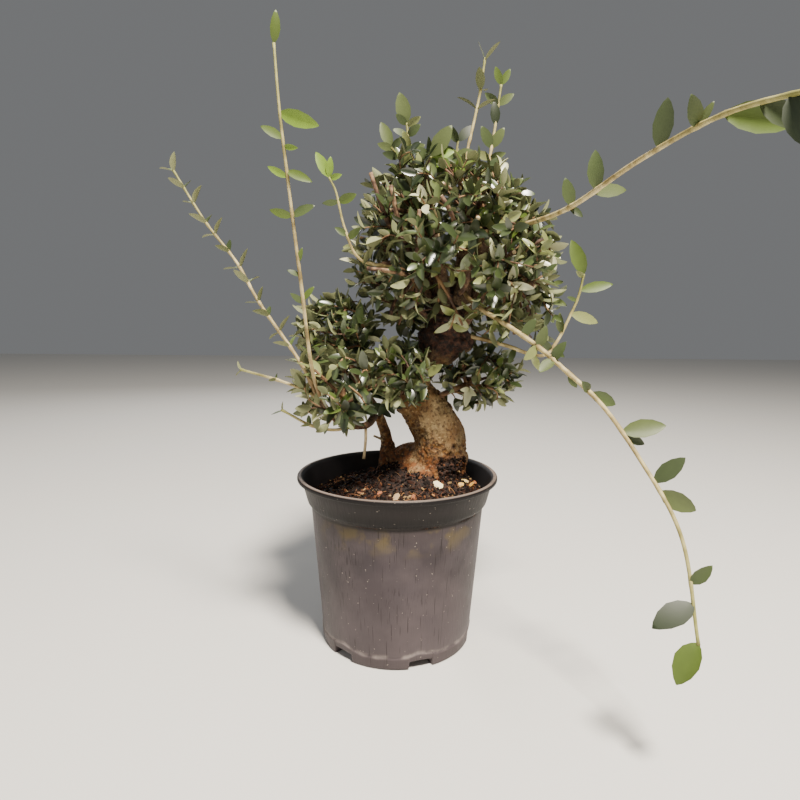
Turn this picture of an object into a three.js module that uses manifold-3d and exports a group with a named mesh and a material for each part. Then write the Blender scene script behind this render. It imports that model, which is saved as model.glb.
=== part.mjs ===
// A small wild olive, grown as a pre-bonsai, in a plain round nursery pot.
// Millimetres, +Z up, origin at the middle of the pot's flat underside, front towards -Y.
// The bent trunk carries short boughs on its stump-like head, each bough carries one mass of
// leafy twigs, and long unpruned shoots stand out of the clipped crown.

import * as THREE from 'three';
import { mergeVertices } from 'three/addons/utils/BufferGeometryUtils.js';
import Module from 'manifold-3d';

const wasm = await Module();
wasm.setup();

// Pot and soil: a 16 cm nursery pot
const RIM_RADIUS = 80;
const POT_HEIGHT = 135;
const FOOT_RADIUS = 60;
const SHOULDER_RADIUS = 69.2;
const SHOULDER_HEIGHT = 112;
const COLLAR_RADIUS = 76.3;
const COLLAR_STEP = 2.6;
const LIP_DROP = 3.5;
const WALL = 1.5;
const FLOOR = 2;
const POT_SIDES = 36;
const NOTCHES = 6;
const NOTCH_FIRST = 18;
const NOTCH_WIDTH = 19;
const NOTCH_HEIGHT = 6.5;
const NOTCH_DEPTH = 9;
const SOIL_MARGIN = 118;
const SOIL_LEVEL = 124;
const SOIL_FLAT_RADIUS = 60;

// Tree: clear gap between touching pieces, crown outline, twigs and leaves
const CLEAR = 0.3;
const CROWN = new THREE.Vector3(50, 4, 308);
const CROWN_REACH = new THREE.Vector3(95, 92, 98);
const CLIPPED_SIDE = new THREE.Vector3(1, 0, 1).normalize();
const CLIP_DEPTH = 0.3;
const CROWN_TWIGS = 58;
const SPIRAL_START = 1.6;
const HEAD = new THREE.Vector3(38, 0, 262);
const HEAD_OFFSET = 10;
const BOUGH_REACH = 0.36;
const MASS_DEPTH = 0.6;
const SPACE_MARGIN = 0.5;
const LIMB_MARGIN = 1.2;
const TWIG_RADIUS = 1.1;
const LEAF_LENGTH = 25;
const LEAF_WIDTH = 13.5;
const LEAF_THICKNESS = 1;
const ROOT_WIDTH = 0.9;
const MAIN_RADII = [1, 1.3, 1.1];
const SIDE_RADII = [0.45, 1, 1];
const MAIN_LEAVES = [4, 13, 22, 31, 40];
const SIDE_LEAVES = [4, 13];
const FORKS = [17, 26];
const LEAF_TRIES = [
  { scale: 1, spread: 52 },
  { scale: 1, spread: 72 },
  { scale: 0.8, spread: 40 },
  { scale: 0.8, spread: 85 },
].flatMap(({ scale, spread }) => (
  [0, 0.4, -0.4, 0.8, -0.8, 1.1, -1.1].map((more) => (
    { more, scale, spread: THREE.MathUtils.degToRad(spread) }
  ))
));
const THIRD = (2 * Math.PI) / 3;
const CROSSING = 0.02;
const FORK_FACES = 34;
const SIDE_REACH = 20;
const BARE_STEP = 19;
const TWIG_TRIES = 24;
const TWIG_PROBES = 24;
const SHOOT_STEPS = 24;
const FRAMES = 40;
const GOLDEN_ANGLE = Math.PI * (3 - Math.sqrt(5));
const GOLDEN_SHARE = (Math.sqrt(5) - 1) / 2;

const COLOURS = {
  pot: '#46414a',
  soil: '#3a2a1e',
  bark: '#a88d68',
  bough: '#8a6a4a',
  leaf: '#4f6048',
  shoot: '#8f9a62',
};

// Small tools

function at(x, y, z) {
  return new THREE.Vector3(x, y, z);
}

// A direction from its turn about Z, in degrees from the front towards +X, and its rise
function facing(turn, rise) {
  const t = THREE.MathUtils.degToRad(turn);
  const r = THREE.MathUtils.degToRad(rise);
  return at(Math.sin(t) * Math.cos(r), -Math.cos(t) * Math.cos(r), Math.sin(r));
}

// A repeatable stream of numbers from 0 to 1
function seeded(seed) {
  let state = seed >>> 0;
  return () => {
    state = (state + 0x6d2b79f5) >>> 0;
    let t = Math.imul(state ^ (state >>> 15), state | 1);
    t = (t + Math.imul(t ^ (t >>> 7), t | 61)) ^ t;
    return ((t ^ (t >>> 14)) >>> 0) / 4294967296;
  };
}

function toSolid(geometry) {
  const bare = new THREE.BufferGeometry();
  bare.setAttribute('position', geometry.getAttribute('position').clone());
  if (geometry.index) {
    bare.setIndex(geometry.index.clone());
  }
  const merged = mergeVertices(bare, 1e-4);
  return new wasm.Manifold(new wasm.Mesh({
    numProp: 3,
    vertProperties: new Float32Array(merged.getAttribute('position').array),
    triVerts: new Uint32Array(merged.index.array),
  }));
}

function toGeometry(solid) {
  const mesh = solid.getMesh();
  const geometry = new THREE.BufferGeometry();
  geometry.setAttribute('position', new THREE.BufferAttribute(mesh.vertProperties, 3));
  geometry.setIndex(new THREE.BufferAttribute(mesh.triVerts, 1));
  geometry.computeVertexNormals();
  return geometry;
}

// The largest body of a joined solid: sealed hollows and loose scraps are dropped
function oneBody(solid) {
  const bodies = solid.decompose();
  return bodies.reduce((best, body) => (body.volume() > best.volume() ? body : best));
}

function indexed(points, faces) {
  const geometry = new THREE.BufferGeometry();
  const numbers = points.flatMap((p) => [p.x, p.y, p.z]);
  geometry.setAttribute('position', new THREE.Float32BufferAttribute(numbers, 3));
  geometry.setIndex(faces.flat());
  return geometry;
}

// A limb is a path with a radius at each of its points. Rings of the given number of sides
// follow a smooth curve through the path, and flat caps close both ends.
function limb(path, radii, sides, steps) {
  const curve = new THREE.CatmullRomCurve3(path, false, 'centripetal');
  const frames = curve.computeFrenetFrames(steps, false);
  const rings = [];
  for (let i = 0; i <= steps; i += 1) {
    const along = i / steps;
    const place = along * (radii.length - 1);
    const before = Math.min(Math.floor(place), radii.length - 2);
    const radius = THREE.MathUtils.lerp(radii[before], radii[before + 1], place - before);
    rings.push({
      centre: curve.getPointAt(along),
      tangent: frames.tangents[i],
      normal: frames.normals[i],
      binormal: frames.binormals[i],
      radius,
    });
  }
  return { curve, rings, sides };
}

// The solid of a limb, made thicker and longer by `grow` where another piece is cut clear of it
function limbSolid({ rings, sides }, grow = 0, relief = () => 1) {
  const points = [];
  rings.forEach((ring, i) => {
    const end = i === 0 ? -1 : Number(i === rings.length - 1);
    const centre = ring.centre.clone().addScaledVector(ring.tangent, end * grow);
    for (let k = 0; k < sides; k += 1) {
      const angle = (k / sides) * 2 * Math.PI;
      const radius = ring.radius * relief(angle, i / (rings.length - 1)) + grow;
      points.push(centre.clone()
        .addScaledVector(ring.normal, Math.cos(angle) * radius)
        .addScaledVector(ring.binormal, Math.sin(angle) * radius));
    }
  });
  const faces = [];
  for (let i = 0; i + 1 < rings.length; i += 1) {
    for (let k = 0; k < sides; k += 1) {
      const a = i * sides + k;
      const b = i * sides + ((k + 1) % sides);
      faces.push([a, b, b + sides], [a, b + sides, a + sides]);
    }
  }
  const last = (rings.length - 1) * sides;
  for (let k = 1; k + 1 < sides; k += 1) {
    faces.push([0, k + 1, k], [last, last + k, last + k + 1]);
  }
  return toSolid(indexed(points, faces));
}

// Pot: a thin wall with a stepped collar and a rolled lip, turned about Z

function turned(profile) {
  const points = profile.map(([radius, height]) => new THREE.Vector2(radius, height));
  const geometry = new THREE.LatheGeometry(points, POT_SIDES);
  geometry.rotateX(Math.PI / 2);
  return toSolid(geometry);
}

// A notch or its housing: an arch-topped block set across the foot, `grow` larger all round
function notch(turn, grow) {
  const half = NOTCH_WIDTH / 2 + grow;
  const top = NOTCH_HEIGHT + grow;
  const arch = new THREE.Shape();
  arch.moveTo(-half, -1);
  arch.lineTo(half, -1);
  arch.lineTo(half, top * 0.55);
  arch.quadraticCurveTo(half * 0.8, top, 0, top);
  arch.quadraticCurveTo(-half * 0.8, top, -half, top * 0.55);
  arch.closePath();
  const geometry = new THREE.ExtrudeGeometry(arch, {
    depth: NOTCH_DEPTH + 2 * WALL + 2 * grow,
    bevelEnabled: false,
    curveSegments: 2,
  });
  geometry.rotateX(Math.PI / 2);
  geometry.translate(0, -FOOT_RADIUS + NOTCH_DEPTH + grow, 0);
  geometry.rotateZ(THREE.MathUtils.degToRad(turn));
  return toSolid(geometry);
}

const notchTurns = Array.from({ length: NOTCHES }, (_, i) => NOTCH_FIRST + (i * 360) / NOTCHES);

const innerRim = RIM_RADIUS - 5;
const innerShoulder = SHOULDER_RADIUS - WALL;
const innerFoot = FOOT_RADIUS - WALL;

const outerWall = turned([
  [0, 0],
  [FOOT_RADIUS - 1, 0],
  [FOOT_RADIUS, 1],
  [SHOULDER_RADIUS, SHOULDER_HEIGHT],
  [SHOULDER_RADIUS + COLLAR_STEP, SHOULDER_HEIGHT + 2],
  [COLLAR_RADIUS, POT_HEIGHT - LIP_DROP - 0.5],
  [RIM_RADIUS, POT_HEIGHT - LIP_DROP],
  [RIM_RADIUS, POT_HEIGHT - 1],
  [RIM_RADIUS - 1, POT_HEIGHT],
  [RIM_RADIUS - 3, POT_HEIGHT],
  [innerRim, POT_HEIGHT - 2],
  [innerShoulder + COLLAR_STEP, SHOULDER_HEIGHT + 4],
  [innerShoulder, SHOULDER_HEIGHT],
  [innerFoot, FLOOR],
  [0, FLOOR],
]);
const housings = notchTurns.map((turn) => notch(turn, WALL));
const notches = notchTurns.map((turn) => notch(turn, 0));
const potBody = turned([
  [0, 0],
  [FOOT_RADIUS - 1, 0],
  [FOOT_RADIUS, 1],
  [FOOT_RADIUS + 1, 14],
  [0, 14],
]);
const pot = outerWall
  .add(wasm.Manifold.union(housings).intersect(potBody))
  .subtract(wasm.Manifold.union(notches));

// Soil: fills the pot to under the rim and rises to a flat top round the trunk

const soilFill = turned([
  [0, FLOOR],
  [innerFoot - CLEAR, FLOOR],
  [innerShoulder - CLEAR, SHOULDER_HEIGHT],
  [innerShoulder + 1, SOIL_MARGIN],
  [SOIL_FLAT_RADIUS, SOIL_LEVEL],
  [0, SOIL_LEVEL],
]);
const soil = soilFill.subtract(wasm.Manifold.union(notchTurns.map((turn) => notch(turn, WALL + CLEAR))));

// Trunk: a bent stem on a flared foot, with a stump-like head that the boughs stand on

const trunkPath = [
  at(33, 17, 108),
  at(34, 16, 139),
  at(35, 15, 155),
  at(32, 14, 169),
  at(23, 12, 183),
  at(15, 9, 195),
  at(12, 8, 205),
  at(15, 5, 217),
  at(24, 3, 228),
  at(35, 1, 239),
  at(39, 0, 254),
  at(38, 0, 268),
  at(36, 0, 282),
];
const trunkRadii = [26, 23.5, 22, 20.5, 19, 17.8, 15.2, 12.6, 13.4, 16.4, 16.8, 13.5, 8];
const ROOTS = [
  { to: at(-8, 36, 126), rise: 10, radius: 12 },
  { to: at(-5, 14, 119), rise: 5, radius: 12 },
  { to: at(2, -6, 118), rise: 3, radius: 10 },
  { to: at(30, -13, 118), rise: 1, radius: 9 },
  { to: at(62, 8, 117), rise: 1, radius: 8 },
  { to: at(58, 38, 118), rise: 2, radius: 9 },
  { to: at(24, 48, 118), rise: 2, radius: 9 },
];
const BURLS = [
  { centre: at(45, -5, 240), radius: 12.5 },
  { centre: at(28, -4, 243), radius: 11.5 },
  { centre: at(44, 3, 262), radius: 12 },
  { centre: at(31, 5, 266), radius: 11 },
  { centre: at(41, 11, 143), radius: 17 },
];
const ROOT_HEAD = at(30, 15, 137);
const STEM_FOOT = 151;

const trunkLimb = limb(trunkPath, trunkRadii, 12, 18);
const trunkBelow = new THREE.BoxGeometry(200, 200, 60);
trunkBelow.translate(30, 16, SOIL_LEVEL - 30);

function trunkRelief(angle, along) {
  return 1 + 0.05 * Math.sin(3 * angle + 9 * along) + 0.03 * Math.sin(5 * angle - 14 * along);
}

function rootSolid({ to, rise, radius }, grow) {
  const middle = ROOT_HEAD.clone().lerp(to, 0.55);
  middle.z += rise;
  return limbSolid(limb([ROOT_HEAD, middle, to], [radius * 1.5, radius, radius * 0.6], 6, 3), grow);
}

function burlSolid({ centre, radius }, grow) {
  const ball = new THREE.IcosahedronGeometry(radius + grow, 1);
  ball.scale(1, 1, 0.85);
  ball.translate(centre.x, centre.y, centre.z);
  return toSolid(ball);
}

// The boss on the left root that the second stem stands on
function bossSolid(grow) {
  const path = [at(-6, 35, 124), at(-8, 34, 138), at(-9, 33, STEM_FOOT)];
  const boss = limb(path, [12, 8.5, 5.5], 8, 4);
  return limbSolid(boss, grow);
}

function trunkSolid(grow) {
  const pieces = [limbSolid(trunkLimb, grow, trunkRelief), bossSolid(grow)];
  ROOTS.forEach((root) => pieces.push(rootSolid(root, grow)));
  BURLS.forEach((burl) => pieces.push(burlSolid(burl, grow)));
  return wasm.Manifold.union(pieces).subtract(toSolid(trunkBelow));
}

// Limbs: each knows its solid, the solid that others are cut clear of, and its line

const limbs = {
  trunk: { solid: oneBody(trunkSolid(0)), clear: trunkSolid(CLEAR), rings: trunkLimb.rings },
};

function addLimb(name, carrier, path, radii, sides, steps) {
  const line = limb(path, radii, sides, steps);
  const solid = oneBody(limbSolid(line).subtract(limbs[carrier].clear));
  limbs[name] = { solid, clear: limbSolid(line, CLEAR), rings: line.rings, curve: line.curve };
}

addLimb('second_stem', 'trunk', [
  at(-9, 33, STEM_FOOT - 2),
  at(-11, 32, 161),
  at(-15, 28, 173),
  at(-22, 18, 188),
  at(-30, 7, 202),
], [5.4, 4.2, 3.8, 3.6, 3.4], 8, 7);

// Foliage of the clipped crown: each mass by its turn and rise from the crown's middle, and
// the height at which its bough leaves the trunk's head
const CROWN_MASSES = [
  { name: 'top', turn: 20, rise: 84, height: 277 },
  { name: 'upper_front', turn: 10, rise: 33, height: 262 },
  { name: 'upper_right', turn: 82, rise: 33, height: 265 },
  { name: 'upper_back_right', turn: 154, rise: 33, height: 264 },
  { name: 'upper_back_left', turn: 226, rise: 33, height: 265 },
  { name: 'upper_left', turn: 298, rise: 33, height: 270 },
  { name: 'lower_front_right', turn: 38, rise: -20, height: 246 },
  { name: 'lower_right', turn: 96, rise: -20, height: 244 },
  { name: 'lower_back_right', turn: 152, rise: -20, height: 246 },
  { name: 'lower_back_left', turn: 210, rise: -20, height: 246 },
  { name: 'lower_left', turn: 266, rise: -16, height: 250 },
  { name: 'lower_front_left', turn: 322, rise: -14, height: 246 },
];

// Looser foliage under the crown, each mass round a stem from the limb that carries it
const LOW_MASSES = [
  {
    name: 'mid_left', carrier: 'second_stem', foot: at(-29, 7, 200), seed: at(-46, -2, 246),
    reach: at(36, 42, 34), twigs: 9,
  },
  {
    name: 'low_left_front', carrier: 'bough_low_left_front', foot: at(-38, -42, 181),
    seed: at(-40, -46, 208), reach: at(38, 34, 36), twigs: 6,
  },
  {
    name: 'low_left_back', carrier: 'bough_low_left_back', foot: at(-34, 35, 195),
    seed: at(-42, 42, 214), reach: at(34, 36, 32), twigs: 5,
  },
  {
    name: 'neck', carrier: 'trunk', foot: at(11, 2, 208), seed: at(4, -26, 218),
    reach: at(30, 24, 27), twigs: 6,
  },
  {
    name: 'low_right', carrier: 'trunk', foot: at(25, 8, 192), seed: at(66, 0, 212),
    reach: at(40, 30, 28), twigs: 7,
  },
];

// Places of the crown's shell that stay open: the view of the stump, and its underside
const CROWN_GAPS = [
  { middle: facing(-12, -30), half: 20 },
  { middle: facing(0, -90), half: 38 },
];

// How far the crown goes in a direction, as a share of its reach: it is clipped closer on the
// upper right
function clippedShare(direction) {
  return 1 - CLIP_DEPTH * Math.max(0, direction.dot(CLIPPED_SIDE)) ** 1.5;
}

function crownPoint(direction, share) {
  const reach = direction.clone().multiply(CROWN_REACH).multiplyScalar(clippedShare(direction));
  return CROWN.clone().addScaledVector(reach, share);
}

// A bough leaves the head on the side that its foliage lies on
const crownMasses = CROWN_MASSES.map(({ name, turn, rise, height }) => {
  const out = facing(turn, rise);
  const foot = crownPoint(out, BOUGH_REACH);
  const start = at(HEAD.x, HEAD.y, height);
  const side = at(foot.x - start.x, foot.y - start.y, 0);
  start.add(side.setLength(Math.min(side.length() * 0.3, HEAD_OFFSET)));
  return {
    name,
    carrier: `bough_${name}`,
    seed: crownPoint(out, MASS_DEPTH),
    foot,
    start,
    centre: CROWN,
    reach: CROWN_REACH,
    shape: clippedShare,
  };
});
const lowMasses = LOW_MASSES.map((mass) => ({ ...mass, centre: mass.seed, shape: () => 1 }));
const masses = [...crownMasses, ...lowMasses];

crownMasses.forEach(({ carrier, start, foot }, i) => {
  const bend = facing(40 + i * 137.5, 0).multiplyScalar(2.5);
  const middle = start.clone().lerp(foot, 0.55).add(bend);
  addLimb(carrier, 'trunk', [start, middle, foot], [4.9, 4.1, 3.3], 6, 4);
});
addLimb('bough_low_left_front', 'second_stem', [
  at(-18, 24, 180),
  at(-25, -14, 175),
  at(-43, -46, 184),
  at(-57, -60, 205),
], [3.4, 3, 2.7, 2.3], 6, 8);
addLimb('bough_low_left_back', 'second_stem', [
  at(-18, 23, 181),
  at(-25, 29, 187),
  at(-34, 36, 196),
], [3.2, 2.9, 2.6], 6, 4);

// Long shoots: each has its carrier, its path, its two end radii, and its leaves in pairs
const SHOOTS = [
  {
    name: 'drooping', carrier: 'bough_upper_front', radii: [2.4, 1.2], length: 22, width: 10,
    spacing: 24,
    path: [at(46.5, -10.8, 284), at(52, -30, 271), at(60.6, -45, 262.7), at(77, -60, 251),
      at(92.8, -75, 238.4), at(104.6, -88, 226.3), at(125, -101, 205.8), at(144, -118, 175),
      at(159, -142, 138), at(163, -162, 83)],
  },
  {
    name: 'long_right', carrier: 'bough_upper_front', radii: [2.6, 1.3], length: 24, width: 10,
    spacing: 26,
    path: [at(53, -19, 318), at(70, -30, 321), at(88, -50, 322), at(104, -85, 325),
      at(122, -145, 337), at(136, -192, 342), at(146, -245, 334)],
  },
  {
    name: 'right', carrier: 'trunk', radii: [2.4, 1.2], length: 19, width: 8, spacing: 15,
    path: [at(44, -5, 247), at(66, -12, 242), at(84, -15, 237.3), at(99, -16, 232),
      at(111.4, -17, 231), at(119, -18, 240), at(126.7, -20, 257), at(133.4, -22, 275.6),
      at(135.6, -24, 291)],
  },
  {
    name: 'long_left', carrier: 'bough_low_left_front', radii: [1.7, 1.1], length: 14, width: 7,
    spacing: 15,
    path: [at(-56, -59, 203), at(-66, -60, 225), at(-97, -52, 269), at(-111, -50, 294),
      at(-132, -48, 321), at(-154, -45, 356)],
  },
  {
    name: 'tall_left', carrier: 'bough_low_left_front', radii: [1.7, 1.1], length: 18, width: 8,
    spacing: 20,
    path: [at(-51, -54, 195), at(-56, -70, 216), at(-59, -100, 279), at(-62, -112, 322),
      at(-66, -119, 370), at(-68, -120, 402)],
  },
  {
    name: 'thin_left', carrier: 'bough_low_left_front', radii: [1.4, 1.1], length: 8, width: 4,
    spacing: 20,
    path: [at(-47, -50, 189), at(-60, -54, 204), at(-77, -56, 212), at(-111, -50, 221)],
  },
  {
    name: 'low_left', carrier: 'bough_low_left_front', radii: [1.6, 1.1], length: 10, width: 5,
    spacing: 18,
    path: [at(-34, -32, 178), at(-46, -33, 175), at(-62, -36, 178), at(-85, -40, 191)],
  },
  {
    name: 'top', carrier: 'bough_top', radii: [1.8, 1.1], length: 16, width: 8, spacing: 18,
    path: [at(44, -2, 305), at(42, -9, 335), at(49, -10, 377), at(57, -10, 415),
      at(61, -10, 444)],
  },
  {
    name: 'top_right', carrier: 'bough_upper_right', radii: [1.8, 1.1], length: 16, width: 8,
    spacing: 12,
    path: [at(62.5, 0, 303), at(62, -4, 340), at(66, -7, 371), at(70, -5, 396), at(74, -5, 428)],
  },
  {
    name: 'left', carrier: 'bough_upper_left', radii: [1.7, 1.1], length: 17, width: 9,
    spacing: 15,
    path: [at(27, -7, 305), at(-4, -24, 296), at(-28, -35, 299), at(-38, -40, 319),
      at(-44, -44, 344), at(-48, -45, 352)],
  },
  {
    name: 'peak', carrier: 'bough_upper_left', radii: [1.7, 1.1], length: 18, width: 9,
    spacing: 13,
    path: [at(28, -4, 311), at(30, 6, 330), at(18, -3, 358), at(7, -10, 382), at(5, -10, 399)],
  },
];

// Growth: twigs and leaves keep inside their space and clear of every limb

const shootLines = SHOOTS.map(({ name, path, radii }) => (
  { name: `shoot_${name}`, line: limb(path, radii, 3, SHOOT_STEPS) }
));
const shootWood = wasm.Manifold.union(shootLines.map(({ line }) => limbSolid(line, CLEAR)));
const wood = [
  ...Object.entries(limbs).map(([name, { rings }]) => ({ name, rings })),
  ...shootLines.map(({ name, line }) => ({ name, rings: line.rings })),
];
const obstacles = wood.flatMap(({ name, rings }) => (
  rings.slice(1).flatMap((ring, i) => [0, 0.25, 0.5, 0.75, 1].map((share) => ({
    name,
    place: rings[i].centre.clone().lerp(ring.centre, share),
    radius: Math.max(rings[i].radius, ring.radius),
  })))
));
BURLS.forEach(({ centre, radius }) => {
  obstacles.push({ name: 'trunk', place: centre, radius });
});

function clearOfLimbs(point, own, except = '') {
  return obstacles.every(({ name, place, radius }) => (
    name === except || point.distanceTo(place) > radius + own + LIMB_MARGIN
  ));
}

function insideReach(point, { centre, reach }, margin) {
  const share = point.clone().sub(centre).divide(reach).length();
  return share < 1 - margin / Math.min(reach.x, reach.y, reach.z);
}

// A mass's space lies inside its reach and nearer to its own seed than to any other
function insideSpace(point, mass, margin) {
  return insideReach(point, mass, margin) && masses.every((other) => {
    if (other === mass) {
      return true;
    }
    const apart = other.seed.distanceTo(mass.seed);
    const nearer = point.distanceToSquared(other.seed) - point.distanceToSquared(mass.seed);
    return nearer / (2 * apart) > margin;
  });
}

// A leaf: a six-sided blade, flat below and ridged along its midrib above. It is named by its
// root on the twig's axis, its direction, and the normal of its upper face.
function leafOutline({ root, direction, normal, length, width }) {
  const side = new THREE.Vector3().crossVectors(normal, direction).normalize();
  const place = (along, across, drop) => root.clone()
    .addScaledVector(direction, along * length)
    .addScaledVector(side, across * width)
    .addScaledVector(normal, -drop * LEAF_THICKNESS);
  return [
    place(0.34, -0.5, 1),
    place(0.7, -0.46, 1),
    place(1, 0, 0),
    place(0.7, 0.46, 1),
    place(0.34, 0.5, 1),
  ];
}

// Points over a leaf's blade that have to lie clear, its root left out
function leafProbes(leaf) {
  const corners = leafOutline(leaf);
  const middle = leaf.root.clone().addScaledVector(leaf.direction, leaf.length / 2);
  return [...corners, middle, ...corners.map((corner) => corner.clone().lerp(middle, 0.5))];
}

// The same leaf as a solid of its own, its root drawn to a point
function leafSolid(leaf) {
  const faces = [
    [0, 1, 3], [1, 2, 3], [0, 3, 5], [3, 4, 5], [5, 1, 0], [5, 2, 1], [5, 4, 2], [4, 3, 2],
  ];
  return toSolid(indexed([leaf.root, ...leafOutline(leaf)], faces));
}

// A leaf that stands out of a twig at one place, on the side given by `turn`
function leafAt({ curve, frames }, along, turn, spread, size) {
  const tangent = curve.getTangentAt(along);
  const { across, over } = frameAt({ curve, frames }, along);
  const out = across.multiplyScalar(Math.cos(turn)).addScaledVector(over, Math.sin(turn));
  return {
    root: curve.getPointAt(along),
    direction: tangent.clone().multiplyScalar(Math.cos(spread))
      .addScaledVector(out, Math.sin(spread)),
    normal: tangent.clone().multiplyScalar(Math.sin(spread))
      .addScaledVector(out, -Math.cos(spread)),
    ...size,
  };
}

// A twig's line: a smooth curve, its radius at both ends and the middle, and steady frames
function twigLine(path, radii) {
  const curve = new THREE.CatmullRomCurve3(path, false, 'centripetal');
  return { curve, radii, frames: curve.computeFrenetFrames(FRAMES, false) };
}

function frameAt({ curve, frames }, along) {
  const tangent = curve.getTangentAt(along);
  const nearest = frames.normals[Math.round(along * FRAMES)];
  const across = nearest.clone().addScaledVector(tangent, -nearest.dot(tangent)).normalize();
  return { across, over: tangent.clone().cross(across) };
}

function twigRadius({ radii }, along) {
  const place = along * (radii.length - 1);
  const before = Math.min(Math.floor(place), radii.length - 2);
  return THREE.MathUtils.lerp(radii[before], radii[before + 1], place - before);
}

// A three-sided twig with its leaves in one closed mesh. `stations` give the rings in order
// with their turn; a station's leaves, one for each face, fill the short stretch above it.
function leafyTwig(line, stations, endLeaf) {
  const points = [];
  const faces = [];
  const turns = stations.map(({ turn }) => turn);
  stations.forEach(({ along }, i) => {
    const { across, over } = frameAt(line, along);
    const centre = line.curve.getPointAt(along);
    const radius = twigRadius(line, along);
    for (let k = 0; k < 3; k += 1) {
      const angle = turns[i] + (k * 2 * Math.PI) / 3;
      points.push(centre.clone()
        .addScaledVector(across, Math.cos(angle) * radius)
        .addScaledVector(over, Math.sin(angle) * radius));
    }
  });
  faces.push([0, 2, 1]);
  stations.slice(0, -1).forEach(({ leaves = [] }, i) => {
    for (let k = 0; k < 3; k += 1) {
      const a = 3 * i + k;
      const b = 3 * i + ((k + 1) % 3);
      const blade = leaves[k];
      if (!blade) {
        faces.push([a, b, b + 3], [a, b + 3, a + 3]);
        continue;
      }
      const [l1, l2, tip, r2, r1] = addOutline(points, blade);
      faces.push(
        [a, l1, a + 3], [b, b + 3, r1], [a, b, r1], [a, r1, l1],
        ...bladeFaces(a + 3, b + 3, l1, l2, tip, r2, r1),
      );
    }
  });
  const last = 3 * (stations.length - 1);
  if (endLeaf) {
    const [l1, l2, tip, r2, r1] = addOutline(points, endLeaf);
    faces.push(
      [last + 2, l1, last + 1], [last + 2, last, r1], [last + 2, r1, l1],
      ...bladeFaces(last + 1, last, l1, l2, tip, r2, r1),
    );
  } else {
    faces.push([last, last + 1, last + 2]);
  }
  return toSolid(indexed(points, faces));
}

function addOutline(points, leaf) {
  return leafOutline(leaf).map((corner) => points.push(corner) - 1);
}

// The blade past its root, ridged above from `left` and `right` to the tip and flat below
function bladeFaces(left, right, l1, l2, tip, r2, r1) {
  return [
    [left, l1, l2], [left, l2, tip], [left, tip, right], [right, tip, r2], [right, r2, r1],
    [l1, r1, r2], [l1, r2, l2], [l2, r2, tip],
  ];
}

function scaled(size, scale) {
  return { length: size.length * scale, width: size.width * scale };
}

// The leaves round one place of a twig, one for each of its faces. Two grow on opposite sides:
// each takes the first of its tries that `fits` on a free face, and is left out otherwise.
function leafPair(line, along, turn, size, fits) {
  const leaves = [null, null, null];
  [0, Math.PI].forEach((half) => {
    LEAF_TRIES.some(({ more, scale, spread }) => {
      const away = Math.PI / 6 + half + more;
      const face = Math.round(away / THIRD - 0.5 + 3) % 3;
      const leaf = leafAt(line, along, turn + away, spread, scaled(size, scale));
      const grows = !leaves[face] && fits(leaf);
      if (grows) {
        leaves[face] = leaf;
      }
      return grows;
    });
  });
  return leaves;
}

// Grows one twig: `places` are its leaf pairs, in millimetres back from its end
function growTwig(line, places, firstTurn, sizeOf, fits) {
  const total = line.curve.getLength();
  const terminal = leafAt(line, 1, firstTurn + 2 * THIRD, 0, sizeOf(0));
  const endLeaf = fits(terminal) ? terminal : null;
  const stations = [{ along: 1, turn: firstTurn }];
  places.filter((back) => back < 0.8 * total).forEach((back, i) => {
    const along = 1 - back / total;
    const turn = firstTurn - ((i + 1) * Math.PI) / 6;
    const leaves = leafPair(line, along, turn, sizeOf(i + 1), fits);
    if (leaves.some(Boolean)) {
      stations.unshift(
        { along: along - ROOT_WIDTH / total, turn, leaves },
        { along: along + ROOT_WIDTH / total, turn },
      );
    }
  });
  stations.unshift({ along: 0, turn: stations[0].turn });
  return leafyTwig(line, withBareRings(stations, total), endLeaf);
}

// Adds bare rings on the long stretches, so that the wood follows its curve there
function withBareRings(stations, total) {
  return stations.flatMap((station, i) => {
    const before = stations[Math.max(i - 1, 0)];
    const count = Math.floor(((station.along - before.along) * total) / BARE_STEP);
    const bare = Array.from({ length: count }, (_, k) => {
      const share = (k + 1) / (count + 1);
      return {
        along: THREE.MathUtils.lerp(before.along, station.along, share),
        turn: THREE.MathUtils.lerp(before.turn, station.turn, share),
      };
    });
    return [...bare, station];
  });
}

function twigFits({ curve }, mass) {
  return curve.getSpacedPoints(TWIG_PROBES).every((point) => (
    insideSpace(point, mass, SPACE_MARGIN + TWIG_RADIUS * 1.5)
      && clearOfLimbs(point, TWIG_RADIUS * 1.5)
  ));
}

function leafFits(leaf, mass) {
  return leafProbes(leaf).every((point) => (
    insideSpace(point, mass, SPACE_MARGIN) && clearOfLimbs(point, LEAF_THICKNESS)
  ));
}

// Directions spread evenly over a sphere by the golden angle
function evenDirections(count) {
  return Array.from({ length: count }, (_, i) => {
    const height = 1 - (2 * i + 1) / count;
    const round = Math.sqrt(1 - height * height);
    const angle = SPIRAL_START + i * GOLDEN_ANGLE;
    return at(round * Math.cos(angle), round * Math.sin(angle), height);
  });
}

// The directions in which a mass grows its twigs
function directionsOf(mass) {
  if (mass.twigs) {
    return evenDirections(mass.twigs);
  }
  return evenDirections(CROWN_TWIGS).filter((direction) => {
    const target = crownPoint(direction, 0.9);
    const open = CROWN_GAPS.some(({ middle, half }) => (
      THREE.MathUtils.radToDeg(direction.angleTo(middle)) < half
    ));
    const nearest = crownMasses.reduce((best, other) => (
      target.distanceTo(other.seed) < target.distanceTo(best.seed) ? other : best
    ));
    return !open && nearest === mass;
  });
}

function crosses(a, b) {
  return a.intersect(b).volume() > CROSSING;
}

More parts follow.
